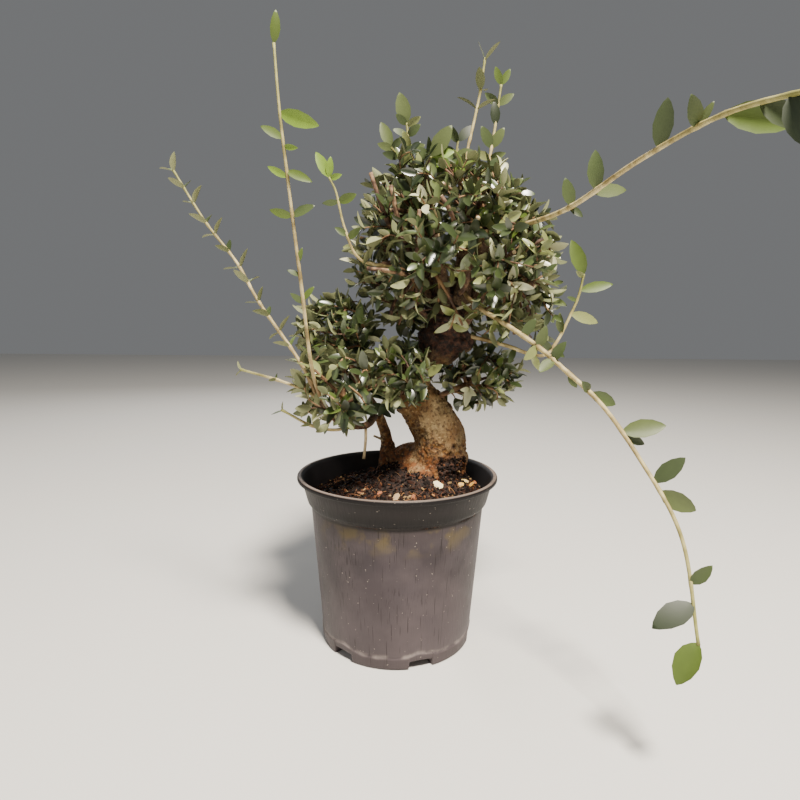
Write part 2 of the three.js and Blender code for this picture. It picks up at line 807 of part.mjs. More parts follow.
// A test that lets a leaf grow only where it fits, crosses nothing that has grown before, and
// crosses no earlier leaf of its own twig
function leafTest(fits, grown) {
  const leaves = [];
  return (leaf) => {
    const blade = fits(leaf) && leafSolid(leaf);
    if (!blade || crosses(blade, grown) || leaves.some((other) => crosses(blade, other))) {
      return false;
    }
    leaves.push(blade);
    return true;
  };
}

// The line of a main twig, from a fork on the stem towards its tip
function mainLine(stem, share, tip, random) {
  const fork = stem.curve.getPointAt(share);
  const bend = at(random() - 0.5, random() - 0.5, random() - 0.3)
    .multiplyScalar(0.2 * tip.distanceTo(fork));
  return twigLine([fork, fork.clone().lerp(tip, 0.5).add(bend), tip], MAIN_RADII);
}

// The line of a side twig, from a fork between two leaf pairs of its main twig
function sideLine(main, direction, tip, random) {
  const around = direction.clone().cross(at(0.1, 0, 1)).normalize()
    .applyAxisAngle(direction, random() * 2 * Math.PI);
  const sideTip = tip.clone().addScaledVector(around, SIDE_REACH).addScaledVector(direction, -4);
  const back = FORKS[Math.floor(FORKS.length * random())];
  const fork = main.curve.getPointAt(1 - Math.min(back / main.curve.getLength(), 0.8));
  return twigLine([fork, fork.clone().lerp(sideTip, 0.5).add(at(0, 0, 1)), sideTip], SIDE_RADII);
}

// A mass grows twig by twig from its stem: a main twig towards each of its directions, and a
// side twig on every second one. A twig joins what has grown if it crosses none of it, which
// would show as more new faces than one fork makes.
function growMass(mass, seed) {
  const inward = mass.foot.clone().sub(mass.seed).normalize();
  const stem = limb([mass.foot.clone().addScaledVector(inward, 1), mass.seed], [2.7, 1.9], 5, 1);
  let grown = limbSolid(stem);
  const fits = (leaf) => leafFits(leaf, mass) && !crosses(leafSolid(leaf), shootWood);
  const joins = (line, places, random) => {
    if (!twigFits(line, mass)) {
      return false;
    }
    const scales = [0, ...places].map(() => 0.88 + 0.24 * random());
    const sizeOf = (i) => ({ length: LEAF_LENGTH * scales[i], width: LEAF_WIDTH * scales[i] });
    const twig = growTwig(line, places, random() * 2 * Math.PI, sizeOf, leafTest(fits, grown));
    const joined = grown.add(twig);
    const clean = joined.numTri() - grown.numTri() - twig.numTri() <= FORK_FACES;
    grown = clean ? joined : grown;
    return clean;
  };
  directionsOf(mass).forEach((direction, i) => {
    const random = seeded(seed * 1000 + i);
    const reach = mass.shape(direction) * (0.7 + 0.14 * random());
    const tip = mass.centre.clone()
      .add(direction.clone().multiply(mass.reach).multiplyScalar(reach));
    const share = 0.35 + 0.6 * ((i * GOLDEN_SHARE) % 1);
    const main = firstTry(
      () => mainLine(stem, share, tip, random),
      (line) => joins(line, MAIN_LEAVES, random),
    );
    if (main && i % 2 === 0) {
      firstTry(
        () => sideLine(main, direction, tip, random),
        (line) => joins(line, SIDE_LEAVES, random),
      );
    }
  });
  return oneBody(grown.subtract(limbs[mass.carrier].clear));
}

// The first of a few tries that works
function firstTry(draw, works) {
  for (let i = 0; i < TWIG_TRIES; i += 1) {
    const found = draw();
    if (works(found)) {
      return found;
    }
  }
  return null;
}

// A long shoot: a twig that grows from its carrier, with leaves where it has left the crown
function growShoot({ name, carrier, path, radii, length, width, spacing }, seed) {
  const random = seeded(seed);
  const line = twigLine(path, radii);
  const total = line.curve.getLength();
  const count = Math.floor(total / spacing);
  const places = Array.from({ length: count }, (_, i) => 4 + i * spacing);
  const scales = [0, ...places].map((_, i) => (i < 2 ? 0.8 : 1) * (0.85 + 0.3 * random()));
  const sizeOf = (i) => ({ length: length * scales[i], width: width * scales[i] });
  const test = leafTest((leaf) => leafProbes(leaf).every((point) => (
    clearOfLimbs(point, LEAF_THICKNESS, `shoot_${name}`)
      && !masses.some((mass) => insideReach(point, mass, -1))
  )), limbs[carrier].clear);
  const shoot = growTwig(line, places, 0.4, sizeOf, test);
  return oneBody(shoot.subtract(limbs[carrier].clear));
}

// The whole tree as a group of named meshes

const group = new THREE.Group();
group.name = 'potted_wild_olive';

function addMesh(name, solid, colour, roughness) {
  const material = new THREE.MeshStandardMaterial({ color: colour, roughness, metalness: 0 });
  const mesh = new THREE.Mesh(toGeometry(solid), material);
  mesh.name = name;
  group.add(mesh);
}

addMesh('pot', pot, COLOURS.pot, 0.6);
addMesh('soil', soil, COLOURS.soil, 0.95);
Object.entries(limbs).forEach(([name, { solid }]) => {
  addMesh(name, solid, name === 'trunk' ? COLOURS.bark : COLOURS.bough, 0.85);
});
masses.forEach((mass, i) => {
  addMesh(`foliage_${mass.name}`, growMass(mass, 101 + i), COLOURS.leaf, 0.55);
});
SHOOTS.forEach((shoot, i) => {
  addMesh(`shoot_${shoot.name}`, growShoot(shoot, 301 + i), COLOURS.shoot, 0.55);
});

export default group;
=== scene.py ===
"""A potted wild olive: its pot, soil, bark, twigs and leaves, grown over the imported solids."""

import bpy
import numpy as np
from mathutils import Matrix, Vector


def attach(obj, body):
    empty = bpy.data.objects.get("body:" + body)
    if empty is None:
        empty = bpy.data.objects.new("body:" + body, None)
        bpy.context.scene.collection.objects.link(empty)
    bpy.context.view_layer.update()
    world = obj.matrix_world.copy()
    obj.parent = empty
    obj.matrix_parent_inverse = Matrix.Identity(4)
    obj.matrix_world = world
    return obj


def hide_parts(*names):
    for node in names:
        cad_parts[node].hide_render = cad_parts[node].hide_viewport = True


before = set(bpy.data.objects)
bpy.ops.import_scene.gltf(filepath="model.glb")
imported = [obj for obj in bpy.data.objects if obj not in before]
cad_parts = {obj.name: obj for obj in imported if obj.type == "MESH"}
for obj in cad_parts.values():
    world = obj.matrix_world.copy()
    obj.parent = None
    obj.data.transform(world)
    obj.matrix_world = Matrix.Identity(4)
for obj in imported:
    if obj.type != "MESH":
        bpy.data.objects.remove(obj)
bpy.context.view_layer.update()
MM = 0.001


# Pot
# A nursery pot, injection moulded in thin black polypropylene that the sun has faded: a
# tapered wall, a stepped collar, a rolled lip, and a foot cut by six arched drainage notches.

RIM_RADIUS = 80 * MM
POT_HEIGHT = 135 * MM
FOOT_RADIUS = 60 * MM
SHOULDER_RADIUS = 69.2 * MM
SHOULDER_HEIGHT = 112 * MM
COLLAR_RADIUS = 76.3 * MM
FOOT_ZONE = 16 * MM
BAND_HEIGHT = 9.6 * MM
BAND_ARCH = 3 * MM
BAND_ARCH_REACH = 11 * MM
BAND_RIPPLE = 0.5 * MM
BAND_STEP = 0.7 * MM
BAND_SLOPE = 0.9 * MM
BAND_EDGE_SPREAD = 1.3 * MM
BAND_EDGE_ABOVE = 0.6 * MM
NOTCHES = 6
NOTCH_PITCH = 2 * np.pi / NOTCHES
NOTCH_FIRST = np.radians(18) - np.pi / 2
NOTCH_WIDTH = 19 * MM
NOTCH_HEIGHT = 6.5 * MM
NOTCH_ARCH = 0.15
NOTCH_DEPTH = 9 * MM
NOTCH_SLOPE = 0.5 * MM
OVAL = 0.003
CORNER_CUT = 1.4 * MM
POT_COLUMNS = 240


def linear(code, share=1.0):
    """An sRGB hex colour as linear RGBA: the sRGB curve undone channel by channel, times a
    share of its brightness."""
    channels = np.array([int(code[i:i + 2], 16) for i in (1, 3, 5)]) / 255
    curve = np.where(channels <= 0.04045, channels / 12.92, ((channels + 0.055) / 1.055) ** 2.4)
    return (*(share * curve).tolist(), 1.0)


def add(tree, kind, inputs=None, stops=(), **settings):
    """A new node: its settings, the sockets, values or hex colours on its inputs, and a ramp's
    stops."""
    node = tree.nodes.new(kind)
    for name, value in settings.items():
        setattr(node, name, value)
    for _ in stops[2:]:
        node.color_ramp.elements.new(0.5)
    for i, (place, colour) in enumerate(stops):
        node.color_ramp.elements[i].position = place
        node.color_ramp.elements[i].color = linear(colour)
    for name, value in (inputs or {}).items():
        if isinstance(value, bpy.types.NodeSocket):
            tree.links.new(value, node.inputs[name])
        else:
            node.inputs[name].default_value = linear(value) if isinstance(value, str) else value
    return node


def new_material(name, **values):
    """A material and its tree, with even values set on the shader's own sockets."""
    material = bpy.data.materials.new(name)
    material.use_nodes = True
    shader = material.node_tree.nodes["Principled BSDF"]
    for socket, value in values.items():
        value = linear(value) if isinstance(value, str) else value
        shader.inputs[socket.replace("_", " ")].default_value = value
    return material, material.node_tree


def paint(tree, colour, height=None, strength=1.0, depth=0.0):
    """Links a colour to the shader and, where there is a height, a bump of that depth."""
    sockets = tree.nodes["Principled BSDF"].inputs
    tree.links.new(colour, sockets["Base Color"])
    if height is not None:
        bump = add(tree, "ShaderNodeBump", {
            "Height": height, "Strength": strength, "Distance": depth})
        tree.links.new(bump.outputs["Normal"], sockets["Normal"])


def own_space(tree):
    """The place of each point in its object's own space."""
    return add(tree, "ShaderNodeTexCoord").outputs["Object"]


def mark(tree, name):
    """The number that a piece has stored under a name on its points."""
    return add(tree, "ShaderNodeAttribute", attribute_name=name).outputs["Fac"]


def cloud(tree, vector, scale, detail):
    """Noise from 0 to 1 in a space."""
    return add(tree, "ShaderNodeTexNoise", {
        "Vector": vector, "Scale": scale, "Detail": detail}).outputs["Fac"]


def ramp(tree, value, low, high, most=1.0):
    """A value stretched so that it runs from 0 at `low` to `most` at `high`."""
    return add(tree, "ShaderNodeMapRange", {
        "Value": value, "From Min": low, "From Max": high, "To Max": most}).outputs["Result"]


def noise_band(tree, vector, scale, detail, low, high, most=1.0):
    """Noise stretched in the same way."""
    return ramp(tree, cloud(tree, vector, scale, detail), low, high, most)


def product(tree, *values):
    """The product of several sockets."""
    result = values[0]
    for value in values[1:]:
        result = add(tree, "ShaderNodeMath", {0: result, 1: value},
                     operation="MULTIPLY").outputs["Value"]
    return result


def tinted(tree, base, *layers):
    """The base colour mixed with each layer's colour in turn, by the layer's amount."""
    for amount, colour in layers:
        base = add(tree, "ShaderNodeMixRGB", {
            "Fac": amount, "Color1": base, "Color2": colour}).outputs["Color"]
    return base


def mottled(name, scale, detail, stops, strength=1.0, depth=0.0, **values):
    """A material whose colour runs through a ramp's stops by noise, with a bump of the same
    noise where it has a depth."""
    material, tree = new_material(name, **values)
    spots = cloud(tree, own_space(tree), scale, detail)
    colour = add(tree, "ShaderNodeValToRGB", {"Fac": spots}, stops).outputs["Color"]
    paint(tree, colour, spots if depth else None, strength, depth)
    return material


def new_object(name, data):
    """An object of that data, in the scene."""
    piece = bpy.data.objects.new(name, data)
    bpy.context.scene.collection.objects.link(piece)
    return piece


def stored(piece, name, values):
    """Puts one number on each point of a piece, for its material to read."""
    piece.data.attributes.new(name, "FLOAT", "POINT").data.foreach_set(
        "value", np.asarray(values, dtype=np.float32).ravel())


def surface(name, points, faces, tones=None, smooth=True):
    """One object from arrays: points (n, 3), and faces as arrays of equal corner counts."""
    points = np.asarray(points, dtype=np.float32).reshape(-1, 3)
    corners = np.concatenate([part.ravel() for part in faces]).astype(np.int32)
    sizes = np.concatenate([np.full(len(part), part.shape[1]) for part in faces])
    starts = np.concatenate([[0], np.cumsum(sizes)[:-1]]).astype(np.int32)
    mesh = bpy.data.meshes.new(name)
    mesh.vertices.add(len(points))
    mesh.vertices.foreach_set("co", points.ravel())
    mesh.loops.add(len(corners))
    mesh.loops.foreach_set("vertex_index", corners)
    mesh.polygons.add(len(starts))
    mesh.polygons.foreach_set("loop_start", starts)
    mesh.polygons.foreach_set("use_smooth", np.full(len(starts), smooth))
    if tones is not None:
        mesh.polygons.foreach_set("material_index", tones.astype(np.int32))
    mesh.update(calc_edges=True)
    return new_object(name, mesh)


def grid_faces(rows, columns):
    """Quads between the rows of a grid whose columns run round and meet."""
    row = np.arange(rows - 1)[:, None] * columns
    here = np.arange(columns)[None, :]
    beside = (here + 1) % columns
    quads = [row + here, row + beside, row + beside + columns, row + here + columns]
    return np.stack(quads, axis=-1).reshape(-1, 4)


def closed_grid(rows, columns):
    """Those quads, and one face over the first row and one over the last that face away."""
    first = np.arange(columns)[None, ::-1]
    last = np.arange(columns)[None, :] + (rows - 1) * columns
    return [grid_faces(rows, columns), np.concatenate([first, last])]


def repeated(faces, count, size):
    """One shape's faces for `count` shapes that follow each other, each of `size` points."""
    return (faces + (np.arange(count) * size)[:, None, None]).reshape(-1, faces.shape[1])


def place_piece(piece, materials, nodes=()):
    """Gives a piece its materials and its body, and hides the CAD nodes it stands for."""
    for material in materials:
        piece.data.materials.append(material)
    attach(piece, "root")
    if nodes:
        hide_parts(*nodes)


def parabola(start, corner, end, places):
    """Even places along the parabola that leaves one end and meets the other towards a corner."""
    share = np.linspace(0, 1, places)[:, None]
    return (1 - share) ** 2 * start + 2 * share * (1 - share) * corner + share ** 2 * end


def rounded(profile, cut, steps=4):
    """A profile with each inner corner replaced by a parabola that leaves and meets its sides
    `cut` away from the corner, or a third of the side where that is shorter."""
    points = [profile[:1]]
    for before, corner, after in zip(profile, profile[1:], profile[2:]):
        ends = []
        for other in (before, after):
            side = np.linalg.norm(other - corner)
            ends.append(corner + (other - corner) * min(cut / side, 0.33))
        points.append(parabola(ends[0], corner, ends[1], steps))
    points.append(profile[-1:])
    return np.vstack(points)


def notch_distance(angle):
    """The distance along the foot from each angle to the middle of its nearest notch."""
    away = (angle - NOTCH_FIRST + NOTCH_PITCH / 2) % NOTCH_PITCH - NOTCH_PITCH / 2
    return away * FOOT_RADIUS


def pot_columns():
    """Even angles round the pot, with closer ones at both sides of every notch."""
    middles = NOTCH_FIRST + NOTCH_PITCH * np.arange(NOTCHES)
    edges = np.array([-0.55, -0.05, 0.05, 0.55]) * MM + NOTCH_WIDTH / 2
    edges = np.concatenate([-edges, edges]) / FOOT_RADIUS
    even = np.arange(POT_COLUMNS) * 2 * np.pi / POT_COLUMNS
    return np.unique(np.concatenate([even, (middles[:, None] + edges).ravel() % (2 * np.pi)]))


def pot_points(profile, angle):
    """Each point stands at its profile's radius and height, turned by its angle. The foot's
    rows are pressed up under each notch's arch, and a low band stands out of the wall up to a
    scalloped edge that arches over the notches. Gives the points, and how near each is to that
    edge from above."""
    radius, height = profile[:, :1], profile[:, 1:2]
    away = notch_distance(angle)
    inside = np.clip((NOTCH_WIDTH / 2 - np.abs(away)) / NOTCH_SLOPE, 0, 1)
    arch = 1 - NOTCH_ARCH * np.clip(np.abs(away) / (NOTCH_WIDTH / 2), 0, 1) ** 2
    lift = NOTCH_HEIGHT * inside * arch * (radius > FOOT_RADIUS - NOTCH_DEPTH)
    edge = BAND_HEIGHT + BAND_ARCH * np.exp(-(away / BAND_ARCH_REACH) ** 2)
    edge = edge + BAND_RIPPLE * np.sin(23 * angle) * np.sin(9 * angle + 1)
    rise = height + lift * np.clip(1 - height / FOOT_ZONE, 0, 1)
    outside = radius > FOOT_RADIUS - 2 * MM
    step = np.clip((edge - rise) / BAND_SLOPE, 0, 1) * (rise > 0.4 * MM)
    wobble = 1 + OVAL * np.sin(2 * angle + 0.6) * (height / POT_HEIGHT)
    reach = (radius + BAND_STEP * step * outside) * wobble
    points = np.stack([reach * np.cos(angle), reach * np.sin(angle), rise + 0 * angle], axis=-1)
    return points, np.exp(-((rise - edge - BAND_EDGE_ABOVE) / BAND_EDGE_SPREAD) ** 2) * outside


outer = np.array([
    (FOOT_RADIUS - 1 * MM, 0), (FOOT_RADIUS, 1 * MM), (SHOULDER_RADIUS, SHOULDER_HEIGHT),
    (SHOULDER_RADIUS + 2.6 * MM, SHOULDER_HEIGHT + 2 * MM),
    (COLLAR_RADIUS, POT_HEIGHT - 4 * MM), (RIM_RADIUS, POT_HEIGHT - 3.5 * MM),
    (RIM_RADIUS, POT_HEIGHT - 1 * MM), (RIM_RADIUS - 1 * MM, POT_HEIGHT),
    (RIM_RADIUS - 3 * MM, POT_HEIGHT), (RIM_RADIUS - 5 * MM, POT_HEIGHT - 2 * MM),
    (SHOULDER_RADIUS + 1.1 * MM, SHOULDER_HEIGHT + 4 * MM),
    (SHOULDER_RADIUS - 1.5 * MM, SHOULDER_HEIGHT), (SHOULDER_RADIUS - 3 * MM, 96 * MM),
])
outer = rounded(outer, CORNER_CUT)
wall_heights = np.concatenate([np.arange(3, 15.5, 0.5), np.arange(18, 110, 6)]) * MM
wall_share = wall_heights / SHOULDER_HEIGHT
wall = np.stack([FOOT_RADIUS + (SHOULDER_RADIUS - FOOT_RADIUS) * wall_share, wall_heights], 1)
notch_end = FOOT_RADIUS - NOTCH_DEPTH
underside = np.array([(2 * MM, 0), (notch_end - 0.3 * MM, 0), (notch_end + 0.1 * MM, 0)])
lower_edge = outer[:, 1] < 2.9 * MM
pot_profile = np.vstack([underside, outer[lower_edge], wall, outer[~lower_edge]])
pot_angles = pot_columns()
past_lip = np.arange(len(pot_profile)) > pot_profile[:, 0].argmax()
shaded = past_lip & (pot_profile[:, 0] < RIM_RADIUS - 3.2 * MM)
pot_tones = np.append(np.repeat(shaded[:-1], len(pot_angles)), [False, True])
wall_points, near_edge = pot_points(pot_profile, pot_angles)
pot = surface("pot_wall", wall_points, closed_grid(len(pot_profile), len(pot_angles)), pot_tones)
stored(pot, "band_edge", near_edge)

# Faded polypropylene: a chalky grey-mauve skin over black, scored in front by thin upright
# scratches, with earth stains under the collar and a darker, smoother collar, less faded and
# partly painted shade. Light and shade are painted on it too: the wall grows lighter towards the
# foot, the collar's shadow is a darker band and a thin dark line under it, and a lighter band
# round the collar and a pale line along the lip are painted highlights. The foot band is paler
# along its scalloped edge. The inside wall stays as black as it was moulded.
polypropylene, tree = new_material("faded_polypropylene", IOR=1.49, Specular_IOR_Level=0.22)
coords = own_space(tree)
split = add(tree, "ShaderNodeSeparateXYZ", {"Vector": coords})
height = split.outputs["Z"]
across = add(tree, "ShaderNodeMath", {0: split.outputs["X"], 1: split.outputs["Y"]},
             operation="ARCTAN2").outputs["Value"]
drawn = add(tree, "ShaderNodeCombineXYZ", {"X": across, "Z": height}).outputs["Vector"]
along_wall = add(tree, "ShaderNodeMapping", {"Vector": drawn, "Scale": (1.0, 1.0, 1.2)})
along_wall = along_wall.outputs["Vector"]
leaning = add(tree, "ShaderNodeMapping", {
    "Vector": drawn, "Rotation": (0.0, 0.16, 0.0), "Scale": (1.0, 1.0, 0.5)}).outputs["Vector"]
front = ramp(tree, split.outputs["Y"], -0.030, -0.056)
fine_scratches = product(
    tree, noise_band(tree, along_wall, 85.0, 3.0, 0.57, 0.63, 0.85),
    noise_band(tree, coords, 30.0, 2.0, 0.46, 0.60), front, ramp(tree, height, 0.036, 0.070, 0.9))
long_scores = product(tree, noise_band(tree, leaning, 60.0, 1.0, 0.66, 0.69, 0.8), front)
earth = product(tree, ramp(tree, height, 0.088, 0.104),
                noise_band(tree, coords, 70.0, 6.0, 0.46, 0.6, 0.7), front)
# Painted highlight: a lighter band round the middle of the collar
painted_collar_highlight = product(tree, ramp(tree, height, 0.117, 0.123),
                       ramp(tree, height, 0.131, 0.126, 0.5))
pale_band_edge = product(tree, mark(tree, "band_edge"), noise_band(tree, coords, 90.0, 3.0, 0.4, 0.6, 0.75))
colour = tinted(
    tree, "#312b2e", (noise_band(tree, coords, 24.0, 5.0, 0.35, 0.7), "#3f383c"),
    (noise_band(tree, coords, 38.0, 6.0, 0.42, 0.70, 0.45), "#554c4e"),
    # Painted light: the wall grows lighter towards the foot (#595052), as light thrown up from the
    # floor
    (ramp(tree, height, 0.085, 0.012, 0.45), "#595052"), (fine_scratches, "#191415"),
    # Painted shade: the collar's shadow, as a broad darker band (#2c2524) under it and a thin dark line
    # (#151111) just under its edge
    (long_scores, "#1b1616"), (earth, "#62552f"), (ramp(tree, height, 0.096, 0.110, 0.5), "#2c2524"),
    (ramp(tree, height, 0.1085, 0.1105, 0.85), "#151111"),
    # The collar (#0f0c0d) is painted dark: it is less faded, and partly this is painted shade, as it
    # faces down
    (ramp(tree, height, 0.1117, 0.1128), "#0f0c0d"), (painted_collar_highlight, "#292425"),
    # Painted highlight: a pale line (#85766d) along the top of the lip
    (ramp(tree, height, 0.1343, 0.1349, 0.75), "#85766d"),
    # The foot band is painted paler (#8a7f7a) along its scalloped edge
    (ramp(tree, height, 0.012, 0.008, 0.3), "#3a3232"), (pale_band_edge, "#8a7f7a"),
    (noise_band(tree, coords, 520.0, 1.0, 0.74, 0.80, 0.7), "#a0958b"),
)
worn = noise_band(tree, along_wall, 90.0, 3.0, 0.3, 0.7)
gloss = add(tree, "ShaderNodeMapRange", {"Value": worn, "To Min": 0.42, "To Max": 0.62})
tree.links.new(gloss.outputs["Result"], tree.nodes["Principled BSDF"].inputs["Roughness"])
paint(tree, colour, worn, 0.15, 0.2 * MM)
black = new_material("black_polypropylene", Base_Color="#1a1617", IOR=1.49, Roughness=0.55)[0]
place_piece(pot, [polypropylene, black], ["pot"])


# Soil
# Peat and composted bark, heaped a little towards the trunk and settled at the wall. Loose
# crumbs, splinters and root fibres lie on it, with a few pale chips of wood.

SOIL_RADIUS = 70.4 * MM
SOIL_FLAT = 46 * MM
SOIL_BASE = 104 * MM
SOIL_EDGE = 117.5 * MM
SOIL_TOP = 124 * MM
SOIL_SUNK = 1.2 * MM
# Heaps and one dip: place, rise and reach in millimetres
HEAPS = [((0, 18), 14, 26), ((46, 10), 6, 26), ((20, -8), 7, 16), ((-42, 4), -3, 28)]
SOIL_ROWS = 60
SOIL_COLUMNS = 200
CRUMBS = 5600
FIBRES = 110
FIBRE_PLACES = 7
CRUMB_LEAST = 0.4 * MM
CRUMB_SPREAD = 1.3 * MM
CRUMB_MIX = [0.56, 0.30, 0.10, 0.04]
CRUMB_SHADES = {"peat_crumb": "#130a05", "bark_crumb": "#341b0f",
                "rust_crumb": "#70462a", "pale_crumb": "#a98a60"}


def noise(points, size, seed):
    """Smooth noise from -1 to 1: a hashed number at each corner of a cubic grid of the given
    size, blended across each cube by a smooth step."""
    grid = np.asarray(points) / size
    base = np.floor(grid).astype(np.int64)
    share = grid - base
    share = share * share * (3 - 2 * share)
    total = np.zeros(grid.shape[:-1])
    for corner in np.ndindex(2, 2, 2):
        cell = base + np.array(corner)
        code = cell[..., 0] * 73856093 ^ cell[..., 1] * 19349663 ^ cell[..., 2] * 83492791
        code = ((code ^ (seed * 7919)) * 1274126177) & 0x7FFFFFFF
        code = ((code ^ (code >> 15)) * 668265263) & 0x7FFFFFFF
        value = (code % 20001) / 10000 - 1
        total += value * np.prod(np.where(corner, share, 1 - share), axis=-1)
    return total


def layered(points, size, seed, layers=4):
    """Noise summed in layers, each of half the size and half the strength of the last."""
    return sum(noise(points, size / 2 ** i, seed + i) / 2 ** i for i in range(layers))


def unit(vectors):
    """Vectors scaled to length one."""
    return vectors / np.maximum(np.linalg.norm(vectors, axis=-1, keepdims=True), 1e-12)


def square_to(vectors, axes):
    """What is left of each vector square to its axis, at length one."""
    return unit(vectors - np.sum(vectors * axes, axis=1, keepdims=True) * axes)


def soil_height(x, y):
    """Flat in the middle, falling to the wall over its last stretch, heaped against both sides
    of the trunk, with a dip on the far left, and lumps of three sizes."""
    fall = np.clip((np.hypot(x, y) - SOIL_FLAT) / (SOIL_RADIUS - SOIL_FLAT), 0, 1)
    heap = 0
    for (middle_x, middle_y), rise, reach in HEAPS:
        away = np.hypot(x - middle_x * MM, y - middle_y * MM) / (reach * MM)
        heap = heap + rise * MM * np.exp(-away ** 2)
    uneven = 1.1 * MM * layered(np.stack([x, y, 0 * x], axis=-1), 12 * MM, 5, 3)
    return SOIL_TOP - (SOIL_TOP - SOIL_EDGE) * fall ** 1.5 + heap + uneven - SOIL_SUNK


def tubes(paths, radii, sides):
    """Closed tubes along many paths at once: a ring stands square to each path at each of its
    places, turned as little as it can from ring to ring, and a face closes each end."""
    count, places = paths.shape[:2]
    ahead = unit(np.gradient(paths, axis=1))
    upright = np.abs(ahead[:, 0, 2:]) > 0.9
    across = np.cross(np.where(upright, [1.0, 0, 0], [0, 0, 1.0]), ahead[:, 0])
    turned = []
    for k in range(places):
        across = square_to(across, ahead[:, k])
        turned.append(across)
    across = np.stack(turned, axis=1)
    over = np.cross(ahead, across)
    turn = np.linspace(0, 2 * np.pi, sides, endpoint=False)[:, None]
    round_it = across[:, :, None] * np.cos(turn) + over[:, :, None] * np.sin(turn)
    points = paths[:, :, None] + radii[:, :, None, None] * round_it
    faces = [repeated(part, count, places * sides) for part in closed_grid(places, sides)]
    return points, faces


def join(parts):
    """Puts (points, faces) parts together, faces of the same corner count in one array."""
    points = []
    faces = {}
    total = 0
    for part_points, part_faces in parts:
        part_points = part_points.reshape(-1, 3)
        for face in part_faces:
            faces.setdefault(face.shape[1], []).append(face + total)
        points.append(part_points)
        total += len(part_points)
    return np.concatenate(points), [np.concatenate(group) for group in faces.values()]


soil_share = np.linspace(1, 0.02, SOIL_ROWS)[:, None]
soil_turn = np.arange(SOIL_COLUMNS) * 2 * np.pi / SOIL_COLUMNS
soil_x = SOIL_RADIUS * soil_share * np.cos(soil_turn)
soil_y = SOIL_RADIUS * soil_share * np.sin(soil_turn)
soil_top = np.stack([soil_x, soil_y, soil_height(soil_x, soil_y)], axis=-1)
soil_base = soil_top[:1] * [0.955, 0.955, 0] + [0, 0, SOIL_BASE]
soil = surface("soil_bed", np.concatenate([soil_base, soil_top]),
               closed_grid(SOIL_ROWS + 1, SOIL_COLUMNS))

# Damp peat: nearly black, broken by rusty bark dust
peat = mottled("damp_peat", 480.0, 5.0, [(0.35, "#0d0704"), (0.55, "#24140c"), (0.75, "#4c2d1a")],
               0.8, 1.5 * MM, Roughness=0.9)
place_piece(soil, [peat], ["soil"])


golden = (1 + 5 ** 0.5) / 2
icosahedron = unit(np.array([
    (-1, golden, 0), (1, golden, 0), (-1, -golden, 0), (1, -golden, 0), (0, -1, golden),
    (0, 1, golden), (0, -1, -golden), (0, 1, -golden), (golden, 0, -1), (golden, 0, 1),
    (-golden, 0, -1), (-golden, 0, 1),
]))
ICOSAHEDRON_FACES = np.array([
    (0, 11, 5), (0, 5, 1), (0, 1, 7), (0, 7, 10), (0, 10, 11), (1, 5, 9), (5, 11, 4),
    (11, 10, 2), (10, 7, 6), (7, 1, 8), (3, 9, 4), (3, 4, 2), (3, 2, 6), (3, 6, 8), (3, 8, 9),
    (4, 9, 5), (2, 4, 11), (6, 2, 10), (8, 6, 7), (9, 8, 1),
])


def turned_frames(random, count):
    """Random turns: two square directions and their cross product for each of `count`."""
    first = unit(random.normal(size=(count, 3)))
    second = square_to(random.normal(size=(count, 3)), first)
    return np.stack([first, second, np.cross(first, second)], axis=1)


def broken_lumps(random, middle, size):
    """Lumps: a twenty-sided ball with each corner pushed in or out, stretched along its own
    axes, turned at random and set at its middle."""
    count = len(middle)
    stretch = np.stack([1 + 0.9 * random.random(count), np.ones(count),
                        0.45 + 0.4 * random.random(count)], axis=-1) * size[:, None]
    dented = icosahedron * (0.75 + 0.5 * random.random((count, len(icosahedron), 1)))
    points = np.einsum("nij,njk->nik", dented * stretch[:, None], turned_frames(random, count))
    return points + middle[:, None], repeated(ICOSAHEDRON_FACES, count, len(icosahedron))


def crumb_surface(name, random, middle, size, mix):
    """One mesh of flat-faced lumps, each of one shade."""
    points, faces = broken_lumps(random, middle, size)
    tone = random.choice(len(CRUMB_SHADES), len(middle), p=mix)
    tones = np.repeat(tone, len(ICOSAHEDRON_FACES))
    return surface(name, points, [faces], tones, smooth=False)


random = np.random.default_rng(11)
out = SOIL_RADIUS * 0.985 * np.sqrt(random.random(CRUMBS))
turn = random.random(CRUMBS) * 2 * np.pi
crumb_x, crumb_y = out * np.cos(turn), out * np.sin(turn)
crumb_size = CRUMB_LEAST + CRUMB_SPREAD * random.random(CRUMBS) ** 3.5
crumb_z = soil_height(crumb_x, crumb_y) + 0.35 * crumb_size
crumb_piece = crumb_surface("soil_crumbs", random, np.stack([crumb_x, crumb_y, crumb_z], axis=-1),
                            crumb_size, CRUMB_MIX)

# Crumbs of bark and peat: matt, each lump of one shade that is darker in spots
crumb_shades = []
for name, colour in CRUMB_SHADES.items():
    shade, tree = new_material(name, Roughness=0.88, Specular_IOR_Level=0.25)
    spots = cloud(tree, own_space(tree), 900.0, 3.0)
    paint(tree, tinted(tree, colour, (spots, linear(colour, 0.45))))
    crumb_shades.append(shade)
place_piece(crumb_piece, crumb_shades)


